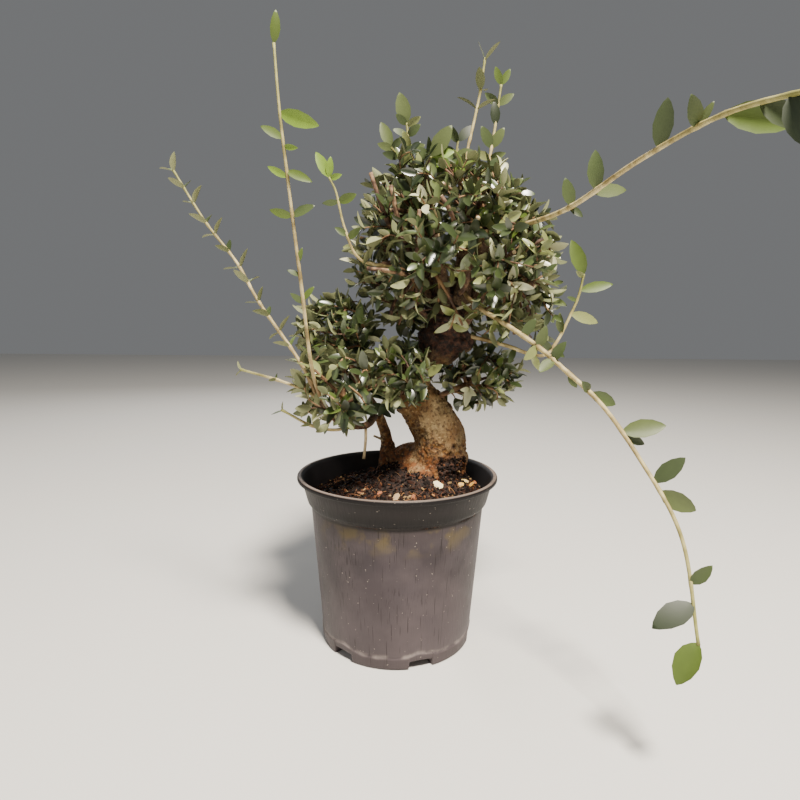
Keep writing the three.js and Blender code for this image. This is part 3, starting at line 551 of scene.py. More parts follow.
def fibre_paths(random, count):
    """Loose fibres: an arc that wanders over the soil and lifts a little at its middle."""
    out = SOIL_RADIUS * 0.9 * np.sqrt(random.random(count))
    turn = random.random(count) * 2 * np.pi
    heading = random.random(count) * 2 * np.pi
    step = ((5 + 13 * random.random(count)) * MM)[:, None] / FIBRE_PLACES
    bend = random.normal(0, 1.3, count)
    along = np.linspace(-0.5, 0.5, FIBRE_PLACES)
    course = heading[:, None] + bend[:, None] * along
    x = (out * np.cos(turn))[:, None] + np.cumsum(np.cos(course), 1) * step
    y = (out * np.sin(turn))[:, None] + np.cumsum(np.sin(course), 1) * step
    limit = np.minimum(1, SOIL_RADIUS * 0.97 / np.hypot(x, y))
    x, y = x * limit, y * limit
    lift = (0.6 + 2.2 * random.random(count)[:, None] * (1 - (2 * along) ** 2)) * MM
    return np.stack([x, y, soil_height(x, y) + lift], axis=-1)


fibres = fibre_paths(random, FIBRES)
fibre_radii = (0.12 + 0.16 * random.random(FIBRES))[:, None] * MM * np.ones((1, FIBRE_PLACES))
fibre_piece = surface("soil_fibres", *tubes(fibres, fibre_radii, 4))

# Dead root fibre: dull rusty brown
fibre = mottled("root_fibre", 60.0, 2.0, [(0.4, "#6b3a22"), (0.6, "#a07448")], Roughness=0.8)
place_piece(fibre_piece, [fibre])


# Chips: (place, half sizes, turn, tilt towards the front, colour)
CHIPS = [
    ((32, -17), (5.4, 3.3, 0.9), 140, 40, "#efdfae"), ((55, -1), (3.8, 2.2, 1.4), -30, 25, "#d9bc7c"),
    ((50, -10), (4.0, 2.4, 1.2), 20, 30, "#cfa556"), ((60, -2), (4.6, 1.6, 1.2), 60, 15, "#c0923f"),
    ((64, 9), (2.4, 2.0, 1.4), 75, 20, "#a5663a"), ((-1, -34), (6.0, 2.6, 0.7), 68, 25, "#a08765"),
    ((12, -35), (3.6, 1.8, 0.8), 85, 25, "#8a5636"), ((-14, -25), (3.6, 1.6, 0.7), 50, 20, "#9a5b3a"),
    ((-30, -22), (4.2, 1.2, 0.8), -10, 10, "#7c5232"), ((27, -30), (2.6, 1.2, 0.9), 140, 20, "#9b6a3a"),
    ((-58, 12), (3.8, 0.9, 0.8), 20, 10, "#8a4d35"), ((-52, 20), (3.2, 0.8, 0.7), -40, 10, "#9a5a3c"),
]


def chip(place, half_sizes, turn, tilt):
    """A flat chip: the twenty-sided ball stretched to three half sizes, turned about Z, tilted
    towards the front and lying on the soil."""
    turn, tilt = np.radians(turn), np.radians(tilt)
    turned = np.array([(np.cos(turn), np.sin(turn), 0), (-np.sin(turn), np.cos(turn), 0), (0, 0, 1)])
    tilted = np.array([(1, 0, 0), (0, np.cos(tilt), np.sin(tilt)), (0, -np.sin(tilt), np.cos(tilt))])
    points = icosahedron * np.array(half_sizes) * MM @ turned @ tilted
    middle = np.array(place) * MM
    level = soil_height(*middle) - 0.6 * points[:, 2].min()
    return points + [*middle, level], [ICOSAHEDRON_FACES]


chip_points, chip_faces = join([chip(*shape) for *shape, _ in CHIPS])
chip_tones = np.repeat(np.arange(len(CHIPS)), len(ICOSAHEDRON_FACES))
chip_piece = surface("wood_chips", chip_points, chip_faces, chip_tones, smooth=False)

# Split wood and bark: dry and matt, from fresh cream to weathered brown
chip_shades = [new_material(f"split_wood_{number}", Base_Color=colour, Roughness=0.75)[0]
               for number, (*_, colour) in enumerate(CHIPS)]
place_piece(chip_piece, chip_shades)


# Trunk
# A pruned olive stem: smooth grey-tan bark over a bend like an elbow, a flared foot, a burl
# at the outer side of the bend, and a swollen, rough-sawn head that has healed over.

TRUNK_PATH = np.array([
    (33, 17, 108), (34, 16, 139), (35, 15, 155), (32, 14, 169), (23, 12, 183), (15, 9, 195),
    (12, 8, 205), (15, 5, 217), (24, 3, 228), (35, 1, 239), (39, 0, 254), (38, 0, 268),
    (36, 0, 282),
]) * MM
TRUNK_RADII = np.array([
    26, 23.5, 22, 20.5, 19, 17.8, 15.2, 12.6, 13.4, 16.4, 16.8, 13.5, 8,
]) * MM
HEALED = 0.5 * MM
ROOT_HEAD = np.array([30, 15, 137]) * MM
# Roots: (end, rise of the middle, radius), and burls: (middle, radius), all in millimetres
ROOTS = [
    ((-8, 36, 126), 10, 12), ((-5, 14, 119), 5, 12), ((2, -6, 118), 3, 10),
    ((17, -11, 118), 3, 10), ((30, -13, 118), 1, 9), ((62, 8, 117), 1, 8),
    ((58, 38, 118), 2, 9), ((24, 48, 118), 2, 9),
]
BURLS = [
    ((45, -5, 240), 12.5), ((28, -4, 243), 11.5), ((44, 3, 262), 12), ((31, 5, 266), 11),
    ((41, 11, 143), 17), ((10, 7, 190), 12.5),
]
BOSS_PATH = np.array([(-6, 35, 118), (-8, 34, 138), (-9, 33, 152)]) * MM
BOSS_RADII = np.array([13, 8.7, 5.7]) * MM
SECOND_STEM = np.array([
    (-9, 33, 149), (-11, 32, 161), (-15, 28, 173), (-22, 18, 188), (-30, 7, 202),
]) * MM
SECOND_RADII = np.array([5.6, 4.4, 4, 3.8, 3.6]) * MM
ROOT_MIDDLE = 0.55
ROOT_TAPER = np.array([1.5, 1, 0.6])
GROUND = 121 * MM
BARK_GRID = 0.8 * MM
BARK_SOFTENING = 22
# Where the bark changes, in millimetres: each pair is where a zone starts and is full
ROUGH_HEAD = (224, 234)
SOIL_LINE = (126, 136)
SCAR = (47, -8)
SCAR_EDGE = (11, 19)
SCAR_TOP = (142, 152)
RUST_EDGE = (150, 172)
SCAB_TOP = (205, 222)
FLAKY = (160, 180)
KNOT = (44.5, -2, 155.7)
KNOT_RADIUS = 2.3
STUCK_CRUMBS = 1500
STUCK_ZONE = (126 * MM, 151 * MM)
STUCK_ROUGHNESS = 0.55
STUCK_LEAST = 0.35 * MM
STUCK_SPREAD = 0.9 * MM
STUCK_MIX = [0.62, 0.28, 0.08, 0.02]


def way_along(path):
    """How far each place of a path is from its start."""
    return np.concatenate([[0], np.cumsum(np.linalg.norm(np.diff(path, axis=0), axis=1))])


def read(place, values, at):
    """Points told at some places along a path, read at others by straight lines."""
    return np.stack([np.interp(at, place, values[:, k]) for k in range(3)], axis=1)


def smooth_path(corners, count):
    """Even places along a centripetal Catmull-Rom curve: between two corners runs the cubic
    whose end slopes come from the corners on both sides, timed by the root of their gap."""
    padded = np.vstack([2 * corners[0] - corners[1], corners, 2 * corners[-1] - corners[-2]])
    share = np.linspace(0, 1, 16, endpoint=False)[:, None]
    dense = []
    for p0, p1, p2, p3 in zip(padded, padded[1:], padded[2:], padded[3:]):
        d0, d1, d2 = np.sqrt(np.linalg.norm([p1 - p0, p2 - p1, p3 - p2], axis=1))
        slope1 = ((p1 - p0) / d0 - (p2 - p0) / (d0 + d1) + (p2 - p1) / d1) * d1
        slope2 = ((p2 - p1) / d1 - (p3 - p1) / (d1 + d2) + (p3 - p2) / d2) * d1
        dense.append((2 * share ** 3 - 3 * share ** 2 + 1) * p1
                     + (share ** 3 - 2 * share ** 2 + share) * slope1
                     + (3 * share ** 2 - 2 * share ** 3) * p2
                     + (share ** 3 - share ** 2) * slope2)
    dense = np.vstack([*dense, corners[-1:]])
    place = way_along(dense)
    return read(place, dense, np.linspace(0, place[-1], count))


def spread(values, count):
    """Values spaced evenly along a limb, read at `count` places by straight lines."""
    return np.interp(np.linspace(0, 1, count), np.linspace(0, 1, len(values)), values)


def limb(corners, radii, places, sides):
    """One closed tapering limb along a smooth path."""
    path = smooth_path(np.asarray(corners), places)
    return tubes(path[None], spread(radii, places)[None], sides)


def ball(middle, radius):
    """A ball as a limb of its own: rings from pole to pole, a little flattened."""
    angle = np.linspace(0.12, np.pi - 0.12, 14)
    path = np.array(middle) * MM - radius * MM * np.cos(angle)[:, None] * [0, 0, 0.85]
    return tubes(path[None], radius * MM * np.sin(angle)[None], 20)


def baked(piece, name):
    """The piece's mesh as its modifiers leave it, in a new object."""
    graph = bpy.context.evaluated_depsgraph_get()
    mesh = bpy.data.meshes.new_from_object(piece.evaluated_get(graph))
    bpy.data.objects.remove(piece)
    return new_object(name, mesh)


def grown_together(name, parts):
    """Overlapping closed parts remeshed into one skin and softened where they meet."""
    points, faces = join(parts)
    points[:, 2] = np.maximum(points[:, 2], GROUND)
    piece = surface(f"{name}_parts", points, faces)
    remesh = piece.modifiers.new("skin", "REMESH")
    remesh.mode = "VOXEL"
    remesh.voxel_size = BARK_GRID
    soften = piece.modifiers.new("healed", "SMOOTH")
    soften.factor = 0.5
    soften.iterations = BARK_SOFTENING
    return baked(piece, name)


def read_back(items, name, width):
    """What a mesh holds under a name for each of its items, as an array of that width."""
    values = np.empty(len(items) * width)
    items.foreach_get(name, values)
    return values.reshape(-1, width)


def zone(value, low, high):
    """A smooth step from 0 at `low` to 1 at `high`."""
    share = np.clip((value - low) / (high - low), 0, 1)
    return share * share * (3 - 2 * share)


def bark_relief(piece, depth):
    """Moves each point along its normal by layered noise: broad swellings, shallow pits, flakes
    and upright ridges, deep ragged lumps on the rough head and foot, and one knot hole in
    front. The thin stem on the left moves less. How rough, how rusty and how scabby each point
    is stays on it for the bark's colours."""
    mesh = piece.data
    points = read_back(mesh.vertices, "co", 3)
    normals = read_back(mesh.vertex_normals, "vector", 3)
    spots = points / MM
    x, y, z = spots.T
    ragged = layered(spots, 9, 71)
    scar = 1 - zone(np.hypot(x - SCAR[0], y - SCAR[1]) + 5 * ragged, *SCAR_EDGE)
    scar *= 1 - zone(z + 4 * ragged, *SCAR_TOP)
    low = 1 - zone(z + 5 * ragged, *SOIL_LINE)
    rough = np.clip(zone(z + 6 * ragged, *ROUGH_HEAD) + scar + 0.8 * low, 0, 1)
    rust = 1 - zone(z + 0.35 * x + 7 * ragged, *RUST_EDGE)
    scabs = zone(layered(spots, 17, 43, 2) - 0.0075 * x, -0.35, 0.25)
    scabs *= 1 - zone(z, *SCAB_TOP)
    flaky = (0.3 + 0.7 * zone(z + 0.6 * x, *FLAKY)) * (0.35 + scabs)
    flakes = 0.9 * flaky * zone(layered(spots, 3.4, 91, 3), -0.05, 0.25)
    swell = 0.8 * noise(spots, 15, 31)
    ridges = 0.4 * layered(spots * [1, 1, 0.35], 3.2, 37, 2)
    pits = -0.9 * np.clip(noise(spots, 2.6, 47) - 0.3, 0, 1)
    grain = 0.2 * layered(spots, 1.8, 53, 2)
    lumps = rough * (1.9 * layered(spots, 6, 61) - 0.4)
    hollow = np.linalg.norm(spots - KNOT, axis=1) / KNOT_RADIUS
    knot = 1.1 * np.exp(-(hollow - 1.6) ** 2 * 3) - 2.6 * np.exp(-hollow ** 2)
    thin = 1 - 0.65 * zone(-x, 0, 6) * zone(z, 148, 156)
    move = (swell + ridges + pits + grain + flakes + lumps) * depth * thin + knot
    points = points + normals * move[:, None] * MM
    points[:, 2] = np.maximum(points[:, 2], GROUND)
    mesh.vertices.foreach_set("co", points.ravel())
    stored(piece, "rough", np.maximum(rough, np.exp(-(hollow / 1.1) ** 4)))
    stored(piece, "rust", rust)
    stored(piece, "scabs", scabs)
    mesh.polygons.foreach_set("use_smooth", np.ones(len(mesh.polygons), dtype=bool))
    mesh.update()


def bark_material(name, tan, ochre, grey, rust, rough_dark, rough_warm):
    """Olive bark: thin grey-tan cork with ochre lichen flecks and dark pores, rusty near the
    soil and almost black where an old cut has healed rough. It is matt, with a fine grain."""
    material, tree = new_material(name, Roughness=0.75)
    coords = own_space(tree)
    drawn = add(tree, "ShaderNodeMapping", {"Vector": coords, "Scale": (1.0, 1.0, 0.45)})
    flecks = add(tree, "ShaderNodeTexNoise", {
        "Vector": coords, "Scale": 360.0, "Detail": 7.0, "Roughness": 0.7}).outputs["Fac"]
    ragged = add(tree, "ShaderNodeValToRGB", {"Fac": flecks},
                 [(0.42, rough_dark), (0.56, "#3f2415"), (0.70, rough_warm)]).outputs["Color"]
    lichen = noise_band(tree, coords, 150.0, 7.0, 0.44, 0.56, 0.9)
    mottle = noise_band(tree, coords, 110.0, 6.0, 0.30, 0.58, 0.9)
    cracks = noise_band(tree, coords, 330.0, 10.0, 0.49, 0.42, 0.85)
    scabs = mark(tree, "scabs")
    colour = tinted(
        tree, tan, (noise_band(tree, drawn.outputs["Vector"], 85.0, 8.0, 0.38, 0.62), grey),
        (product(tree, scabs, lichen), ochre), (product(tree, mark(tree, "rust"), mottle), rust),
        (product(tree, scabs, cracks), "#3a2210"),
        (noise_band(tree, coords, 420.0, 8.0, 0.47, 0.39, 0.75), "#432a14"),
        (noise_band(tree, coords, 500.0, 6.0, 0.60, 0.68, 0.45), "#cdb07a"),
        (mark(tree, "rough"), ragged),
    )
    paint(tree, colour, flecks, 1.0, 1.8 * MM)
    return material


trunk_parts = [
    limb(TRUNK_PATH, TRUNK_RADII + HEALED, 60, 40), limb(BOSS_PATH, BOSS_RADII, 14, 20),
]
for foot, rise, radius in ROOTS:
    foot = np.array(foot) * MM
    middle = ROOT_HEAD + ROOT_MIDDLE * (foot - ROOT_HEAD) + [0, 0, rise * MM]
    trunk_parts.append(limb([ROOT_HEAD, middle, foot], ROOT_TAPER * radius * MM, 12, 16))
trunk_parts += [ball(middle, radius) for middle, radius in BURLS]
trunk_parts.append(limb(SECOND_STEM, SECOND_RADII + HEALED / 2, 24, 16))
trunk = grown_together("trunk_bark", trunk_parts)
bark_relief(trunk, 1.0)
bark = bark_material(
    "olive_bark", "#76562f", "#714911", "#8e7953", "#7c4417", "#0d0603", "#5f371c")
place_piece(trunk, [bark], ["trunk", "second_stem"])

# Soil that has dried onto the rough foot of the trunk
skin = read_back(trunk.data.vertices, "co", 3)
roughness = read_back(trunk.data.attributes["rough"].data, "value", 1)[:, 0]
in_zone = (skin[:, 2] > STUCK_ZONE[0]) & (skin[:, 2] < STUCK_ZONE[1])
low_skin = skin[(roughness > STUCK_ROUGHNESS) & in_zone]

stuck = low_skin[random.integers(0, len(low_skin), STUCK_CRUMBS)]
stuck_size = STUCK_LEAST + STUCK_SPREAD * random.random(STUCK_CRUMBS) ** 2.5
stuck_piece = crumb_surface("stuck_crumbs", random, stuck, stuck_size, STUCK_MIX)
place_piece(stuck_piece, crumb_shades)


# Boughs
# Twelve pruned boughs fan out of the head under the clipped crown, and two thin low ones leave
# the second stem. Their bark is like the trunk's but finer, browner and darker; the darkness is
# partly painted shade inside the crown.

HEAD = np.array([38, 0]) * MM
HEAD_OFFSET = 10 * MM
HEAD_SHARE = 0.3
CROWN = np.array([50, 4, 308]) * MM
CROWN_REACH = np.array([95, 92, 98]) * MM
CLIPPED_SIDE = np.array([1, 0, 1]) / 2 ** 0.5
CLIP_DEPTH = 0.3
BOUGH_REACH = 0.36
MASS_DEPTH = 0.6
BOUGH_MIDDLE = 0.55
BOUGH_BEND = 2.5 * MM
BOUGH_TURN = 137.5
BOUGH_RADII = np.array([4.9, 4.1, 3.3]) * MM
BOUGH_PLACES = 18
BOUGH_KNOTS = 0.16
BOUGH_ROUGHNESS = 0.25
BOUGH_RELIEF = 0.45
CROWN_MASSES = {
    "top": (20, 84, 277), "upper_front": (10, 33, 262), "upper_right": (82, 33, 265),
    "upper_back_right": (154, 33, 264), "upper_back_left": (226, 33, 265),
    "upper_left": (298, 33, 270), "lower_front_right": (38, -20, 246),
    "lower_right": (96, -20, 244), "lower_back_right": (152, -20, 246),
    "lower_back_left": (210, -20, 246), "lower_left": (266, -16, 250),
    "lower_front_left": (322, -14, 246),
}
LOW_BOUGHS = {
    "low_left_front": (
        np.array([(-18, 24, 180), (-25, -14, 175), (-43, -46, 184), (-57, -60, 205)]) * MM,
        np.array([3.4, 3, 2.7, 2.3]) * MM),
    "low_left_back": (
        np.array([(-18, 23, 181), (-25, 29, 187), (-34, 36, 196)]) * MM,
        np.array([3.2, 2.9, 2.6]) * MM),
}


def facing(turn, rise):
    """The direction at a turn to the right of the front and a rise above level, in degrees."""
    turn, rise = np.radians(turn), np.radians(rise)
    return np.array([np.sin(turn) * np.cos(rise), -np.cos(turn) * np.cos(rise), np.sin(rise)])


def clipped_share(direction):
    """How far the crown goes in a direction, as a share of its reach: clipped closer on the
    upper right, by the cosine to that side to the power 1.5."""
    return 1 - CLIP_DEPTH * np.maximum(0, direction @ CLIPPED_SIDE) ** 1.5


def crown_point(direction, share):
    """The place in a direction from the crown's middle, at a share of the way to its edge."""
    direction = np.asarray(direction)
    part = np.asarray(clipped_share(direction) * share)[..., None]
    return CROWN + direction * CROWN_REACH * part


boughs = {}
masses = {}
for i, (name, (turn, rise, start_height)) in enumerate(CROWN_MASSES.items()):
    out = facing(turn, rise)
    foot = crown_point(out, BOUGH_REACH)
    side = foot[:2] - HEAD
    reach = min(HEAD_SHARE * np.linalg.norm(side), HEAD_OFFSET)
    start = np.append(HEAD + unit(side) * reach, start_height * MM)
    bend = facing(40 + i * BOUGH_TURN, 0) * BOUGH_BEND
    middle = start + BOUGH_MIDDLE * (foot - start) + bend
    boughs[name] = (np.stack([start, middle, foot]), BOUGH_RADII)
    masses[name] = {"foot": foot, "seed": crown_point(out, MASS_DEPTH),
                    "centre": CROWN, "reach": CROWN_REACH}
boughs.update(LOW_BOUGHS)
bough_paths = np.stack([smooth_path(path, BOUGH_PLACES) for path, _ in boughs.values()])
bough_radii = np.stack([spread(radii, BOUGH_PLACES) for _, radii in boughs.values()])
knots = 1 + BOUGH_KNOTS * noise(bough_paths, 7 * MM, 83)
bough_piece = surface("boughs", *tubes(bough_paths, bough_radii * knots, 12))
bough_piece.modifiers.new("rounding", "SUBSURF").levels = 2
bough_piece.modifiers["rounding"].render_levels = 2
bough_piece = baked(bough_piece, "bough_bark")
bark_relief(bough_piece, BOUGH_RELIEF)
# Darker than the trunk's bark, partly as painted shade inside the crown
bough_bark = bark_material(
    "bough_bark", "#5e432b", "#5d3b1e", "#6d5a42", "#5f3a1f", "#170c06", "#4f3019")
bough_piece.data.attributes["rough"].data.foreach_set(
    "value", np.full(len(bough_piece.data.vertices), BOUGH_ROUGHNESS))
place_piece(bough_piece, [bough_bark], [f"bough_{name}" for name in boughs])


# Cut snags: (start, end, radius) of bare ends left by pruning under the crown
SNAGS = [
    ((-25, -14, 174), (-26, -15, 149), 1.25), ((-11, 30, 153), (-20, 26, 159), 1.1),
    ((-34, -31, 179), (-30, -34, 190), 1.2), ((-50, -54, 194), (-57, -50, 187), 1.1),
]
snag_paths = np.stack([np.linspace(start, end, 6) * MM for start, end, _ in SNAGS])
snag_paths += 0.5 * MM * np.sin(np.linspace(0, 4, 6))[:, None] * [1, 0, 0.4]
snag_radii = np.array([radius for *_, radius in SNAGS])[:, None] * MM * np.linspace(1, 0.9, 6)
snag_piece = surface("snags", *tubes(snag_paths, snag_radii, 10))

# Dead, weathered twig wood: pale grey-tan and matt
dry_wood, tree = new_material("dry_wood", Roughness=0.8)
weathered = noise_band(tree, own_space(tree), 160.0, 4.0, 0.35, 0.65)
paint(tree, tinted(tree, "#8d7551", (weathered, "#c3b08a")))

place_piece(snag_piece, [dry_wood])


# Foliage
# Evergreen sprays: thin brown twigs that fork outwards from each bough's end, with leathery
# leaves in crossed pairs at their tips. The crown has been clipped to a dome, open in front
# where the head shows and underneath.

CROWN_TWIGS = 58
SPIRAL_START = 1.6
FINE_SPIRAL_START = 0.4
CUT_SPIRAL_START = 2.2
GOLDEN_ANGLE = np.pi * (3 - 5 ** 0.5)
GOLDEN_SHARE = (5 ** 0.5 - 1) / 2
CROWN_GAPS = [(facing(-12, -30), 20), (facing(0, -90), 38)]
GAP_SHARE = 0.72
# Low masses: foot, middle and reach in millimetres, main twigs and fine sprays
LOW_MASSES = {
    "mid_left": ((-29, 7, 200), (-46, -2, 246), (36, 42, 34), 9, 90),
    "low_left_front": ((-38, -42, 181), (-40, -46, 208), (38, 34, 36), 6, 40),
    "low_left_back": ((-34, 35, 195), (-42, 42, 214), (34, 36, 32), 5, 50),
    "neck": ((11, 2, 208), (4, -26, 218), (30, 24, 27), 6, 44),
    "low_right": ((25, 8, 192), (66, 0, 212), (40, 30, 28), 7, 50),
}
CROWN_SPRAYS = 620
TWIG_PLACES = 5
TWIG_REACH = 0.7
TWIG_SPREAD = 0.14
FORK_FIRST = 0.35
FORK_SPAN = 0.6
HEADING_SCATTER = 0.5
FINE_SCATTER = 0.05
# Radii in millimetres at the foot and the tip; a fine twig's foot thins with its depth
STEM_RADII = (2.7, 1.9)
TWIG_RADII = (1.6, 0.9)
FINE_RADII = (1.2, 0.45)
FINE_THINNING = 1.5
OUTLINE_UNEVEN = 0.07
OUTER_DEPTH = 0.68
FINE_INNER = 0.54
FINE_SPAN = 0.37
FINE_CLOSEST = 7 * MM
FINE_LONGEST = 46 * MM
TURN_COST = 1.6
TURN_MOST = 1.1
LEAFY = 16 * MM
LEAFY_INNER = 18 * MM
LEAFY_OUTER = 30 * MM
LEAF_LENGTH = 15.5 * MM
LEAF_WIDTH = 6.8 * MM
LEAF_GAP = 6.4 * MM
LEAF_PAIRS = 6
LEAFY_MOST = 0.86
LEAF_THICKNESS = 0.2 * MM
LEAF_LEAN = 62
TIP_LEAN = 34
LEAN_SCATTER = 9
TIP_ZONE = 4 * MM
TIP_SHORTER = 0.28
LEAF_RISE = [0, 0, 0.12]
LEAF_SCATTER = 0.12
FACE_RISE = [0, 0, 0.5]
FACE_OUTWARD = 0.5
FACE_SCATTER = 0.25
LENGTH_RANGE = (0.78, 1.16)
WIDTH_RANGE = (0.84, 1.16)
FOLD_RANGE = (0.15, 0.75)
CURL_RANGE = (-0.02, 0.2)
LEAF_KEPT = 0.93
LEAF_ROWS = np.array([0, 0.07, 0.22, 0.46, 0.72, 0.91, 1.0])
# Upper-face shades, dealt out by spray. The pale fifth is partly, and the palest last wholly, painted
# highlight: leaves painted as if they caught the light.
LEAF_SHADES = ["#364223", "#46542d", "#566237", "#242f18", "#7e8550", "#506224", "#6f8b2c",
               "#bfc09a"]
CROWN_MIX = [0.23, 0.19, 0.15, 0.17, 0.12, 0.03, 0.0, 0.11]
# Painted shade: the low masses under the crown take more of the darkest green and less of the pale ones
LOW_PAINTED_SHADE_MIX = [0.29, 0.14, 0.08, 0.38, 0.03, 0.05, 0.0, 0.03]
UNDERSIDES = ["#6f754e", "#868a61"]
# Cut stems: how many, places along each, and radii in millimetres at foot and cut
CUT_STEMS = 56
STEM_PLACES = 9
STEM_ENDS = (2.1, 1.45)
STEM_FOOT = 0.3
STEM_RISE = [0, 0, 0.6]
STEM_REACH = 0.80
STEM_UNEVEN = 0.07
STEM_KNOTS = 0.18


def even_directions(count, start=SPIRAL_START):
    """Directions spread evenly over a sphere: a spiral from pole to pole, a golden angle on at
    each step."""
    step = np.arange(count)
    level = 1 - (2 * step + 1) / count
    across = np.sqrt(1 - level ** 2)
    angle = start + step * GOLDEN_ANGLE
    return np.stack([across * np.cos(angle), across * np.sin(angle), level], axis=1)


def own_directions(directions, name, share, gap=1.0):
    """Those directions of the crown that end nearer to this mass than to any other, outside
    the gaps, whose width may be narrowed."""
    target = crown_point(directions, share)
    seeds = np.stack([masses[other]["seed"] for other in CROWN_MASSES])
    nearest = np.linalg.norm(target[:, None] - seeds[None], axis=2).argmin(axis=1)
    keep = nearest == list(CROWN_MASSES).index(name)
    for middle, half in CROWN_GAPS:
        keep &= directions @ middle < np.cos(np.radians(half * gap))
    return directions[keep]


def inside_space(points, name):
    """Whether each point is within its mass's reach and nearer to its seed than to others."""
    mass = masses[name]
    inside = np.linalg.norm((points - mass["centre"]) / mass["reach"], axis=-1) < 1
    own = np.linalg.norm(points - mass["seed"], axis=-1)
    for other, value in masses.items():
        if other != name:
            inside &= own <= np.linalg.norm(points - value["seed"], axis=-1) + 1 * MM
    return inside


def bent(start, heading, end, places=TWIG_PLACES):
    """A twig's path: a parabola that leaves along the heading and bends over to its end."""
    corner = start + heading * 0.45 * np.linalg.norm(end - start)
    return parabola(start, 0.5 * corner + 0.25 * (start + end), end, places)


def reach_towards(mass, direction):
    """A mass's reach in a direction, from its middle."""
    share = clipped_share(direction) if mass["centre"] is CROWN else 1
    return direction * mass["reach"] * share


def grow_mass(name, sprays):
    """The source's rule: from one stem, main twigs fork towards evenly spread directions.
    Finer twigs then go on, from the inside out, to ends spread evenly over the mass, some
    deeper and some shorter where the outline is uneven: each leaves the nearest wood that
    points its way. Returns paths, radii and leafy lengths."""
    mass = masses[name]
    random = np.random.default_rng(list(masses).index(name) + 101)
    inward = unit(mass["foot"] - mass["seed"])
    stem = np.linspace(mass["foot"] + inward * 0.5 * MM, mass["seed"], TWIG_PLACES)
    paths, radii, leafy = [stem], [STEM_RADII], [0]
    fine = even_directions(sprays, FINE_SPIRAL_START)
    if name in CROWN_MASSES:
        directions = own_directions(even_directions(CROWN_TWIGS), name, 0.9)
        fine = own_directions(fine, name, 0.82, GAP_SHARE)
    else:
        directions = even_directions(mass["twigs"])
    for i, direction in enumerate(directions):
        reach = reach_towards(mass, direction)
        tip = mass["centre"] + reach * (TWIG_REACH + TWIG_SPREAD * random.random())
        share = FORK_FIRST + FORK_SPAN * ((i * GOLDEN_SHARE) % 1)
        fork = stem[0] + share * (stem[-1] - stem[0])
        heading = unit(random.normal(size=3) * HEADING_SCATTER + unit(tip - fork))
        paths.append(bent(fork, heading, tip))
        radii.append(TWIG_RADII)
        leafy.append(LEAFY)
    grown = paths[1:] or paths
    places = np.concatenate(grown)
    headings = np.concatenate([unit(np.gradient(path, axis=0)) for path in grown])
    uneven = 1 + OUTLINE_UNEVEN * noise(fine, 0.45, 17)
    depth = FINE_INNER + FINE_SPAN * ((np.arange(len(fine)) * GOLDEN_SHARE) % 1) ** 0.7
    depth = depth * uneven
    for i in np.argsort(depth):
        direction = unit(fine[i] + random.normal(size=3) * FINE_SCATTER)
        end = mass["centre"] + reach_towards(mass, direction) * depth[i]
        if not inside_space(end[None], name)[0]:
            continue
        gap = end - places
        far = np.linalg.norm(gap, axis=1)
        turn = 1 - np.sum(gap * headings, axis=1) / np.maximum(far, 1e-9)
        nearest = (far * (1 + TURN_COST * turn) + 1000 * (far < FINE_CLOSEST)).argmin()
        if far[nearest] > FINE_LONGEST or turn[nearest] > TURN_MOST:
            continue
        path = bent(places[nearest], headings[nearest], end)
        paths.append(path)
        thinner = FINE_THINNING * (depth[i] - FINE_INNER)
        radii.append((FINE_RADII[0] - thinner, FINE_RADII[1]))
        leafy.append(LEAFY_OUTER if depth[i] > OUTER_DEPTH else LEAFY_INNER)
        places = np.concatenate([places, path[1:]])
        headings = np.concatenate([headings, unit(np.gradient(path, axis=0))[1:]])
    ends = np.array(radii) * MM
    along = np.linspace(0, 1, TWIG_PLACES)
    return np.stack(paths), ends[:, :1] + (ends[:, 1:] - ends[:, :1]) * along, np.array(leafy)


def leaf_stations(paths, leafy, random):
    """Where leaves stand on twigs: crossed pairs, an even gap apart from the tip backwards,
    as far as each twig is leafy. Returns place, twig direction, side, gap from the tip and
    twig of each leaf."""
    lengths = np.linalg.norm(np.diff(paths, axis=1), axis=2)
    total = lengths.sum(axis=1)
    ahead = unit(np.gradient(paths, axis=1))
    side = unit(np.cross(ahead[:, -1], random.normal(size=(len(paths), 3))))
    found = []
    for pair in range(LEAF_PAIRS):
        back = pair * LEAF_GAP * (0.85 + 0.3 * random.random(len(paths)))
        on = (back < leafy) & (back < LEAFY_MOST * total)
        share = np.clip(1 - back / total, 0, 1) * (TWIG_PLACES - 1)
        before = np.minimum(share.astype(int), TWIG_PLACES - 2)
        rest = (share - before)[:, None]
        index = np.arange(len(paths))
        place = paths[index, before] * (1 - rest) + paths[index, before + 1] * rest
        heading = unit(ahead[index, before] * (1 - rest) + ahead[index, before + 1] * rest)
        flat = square_to(side, heading)
        out = flat if pair % 2 == 0 else np.cross(heading, flat)
        for way in (1, -1):
            found.append((place[on], heading[on], way * out[on], back[on], index[on]))
    return [np.concatenate(part) for part in zip(*found)]


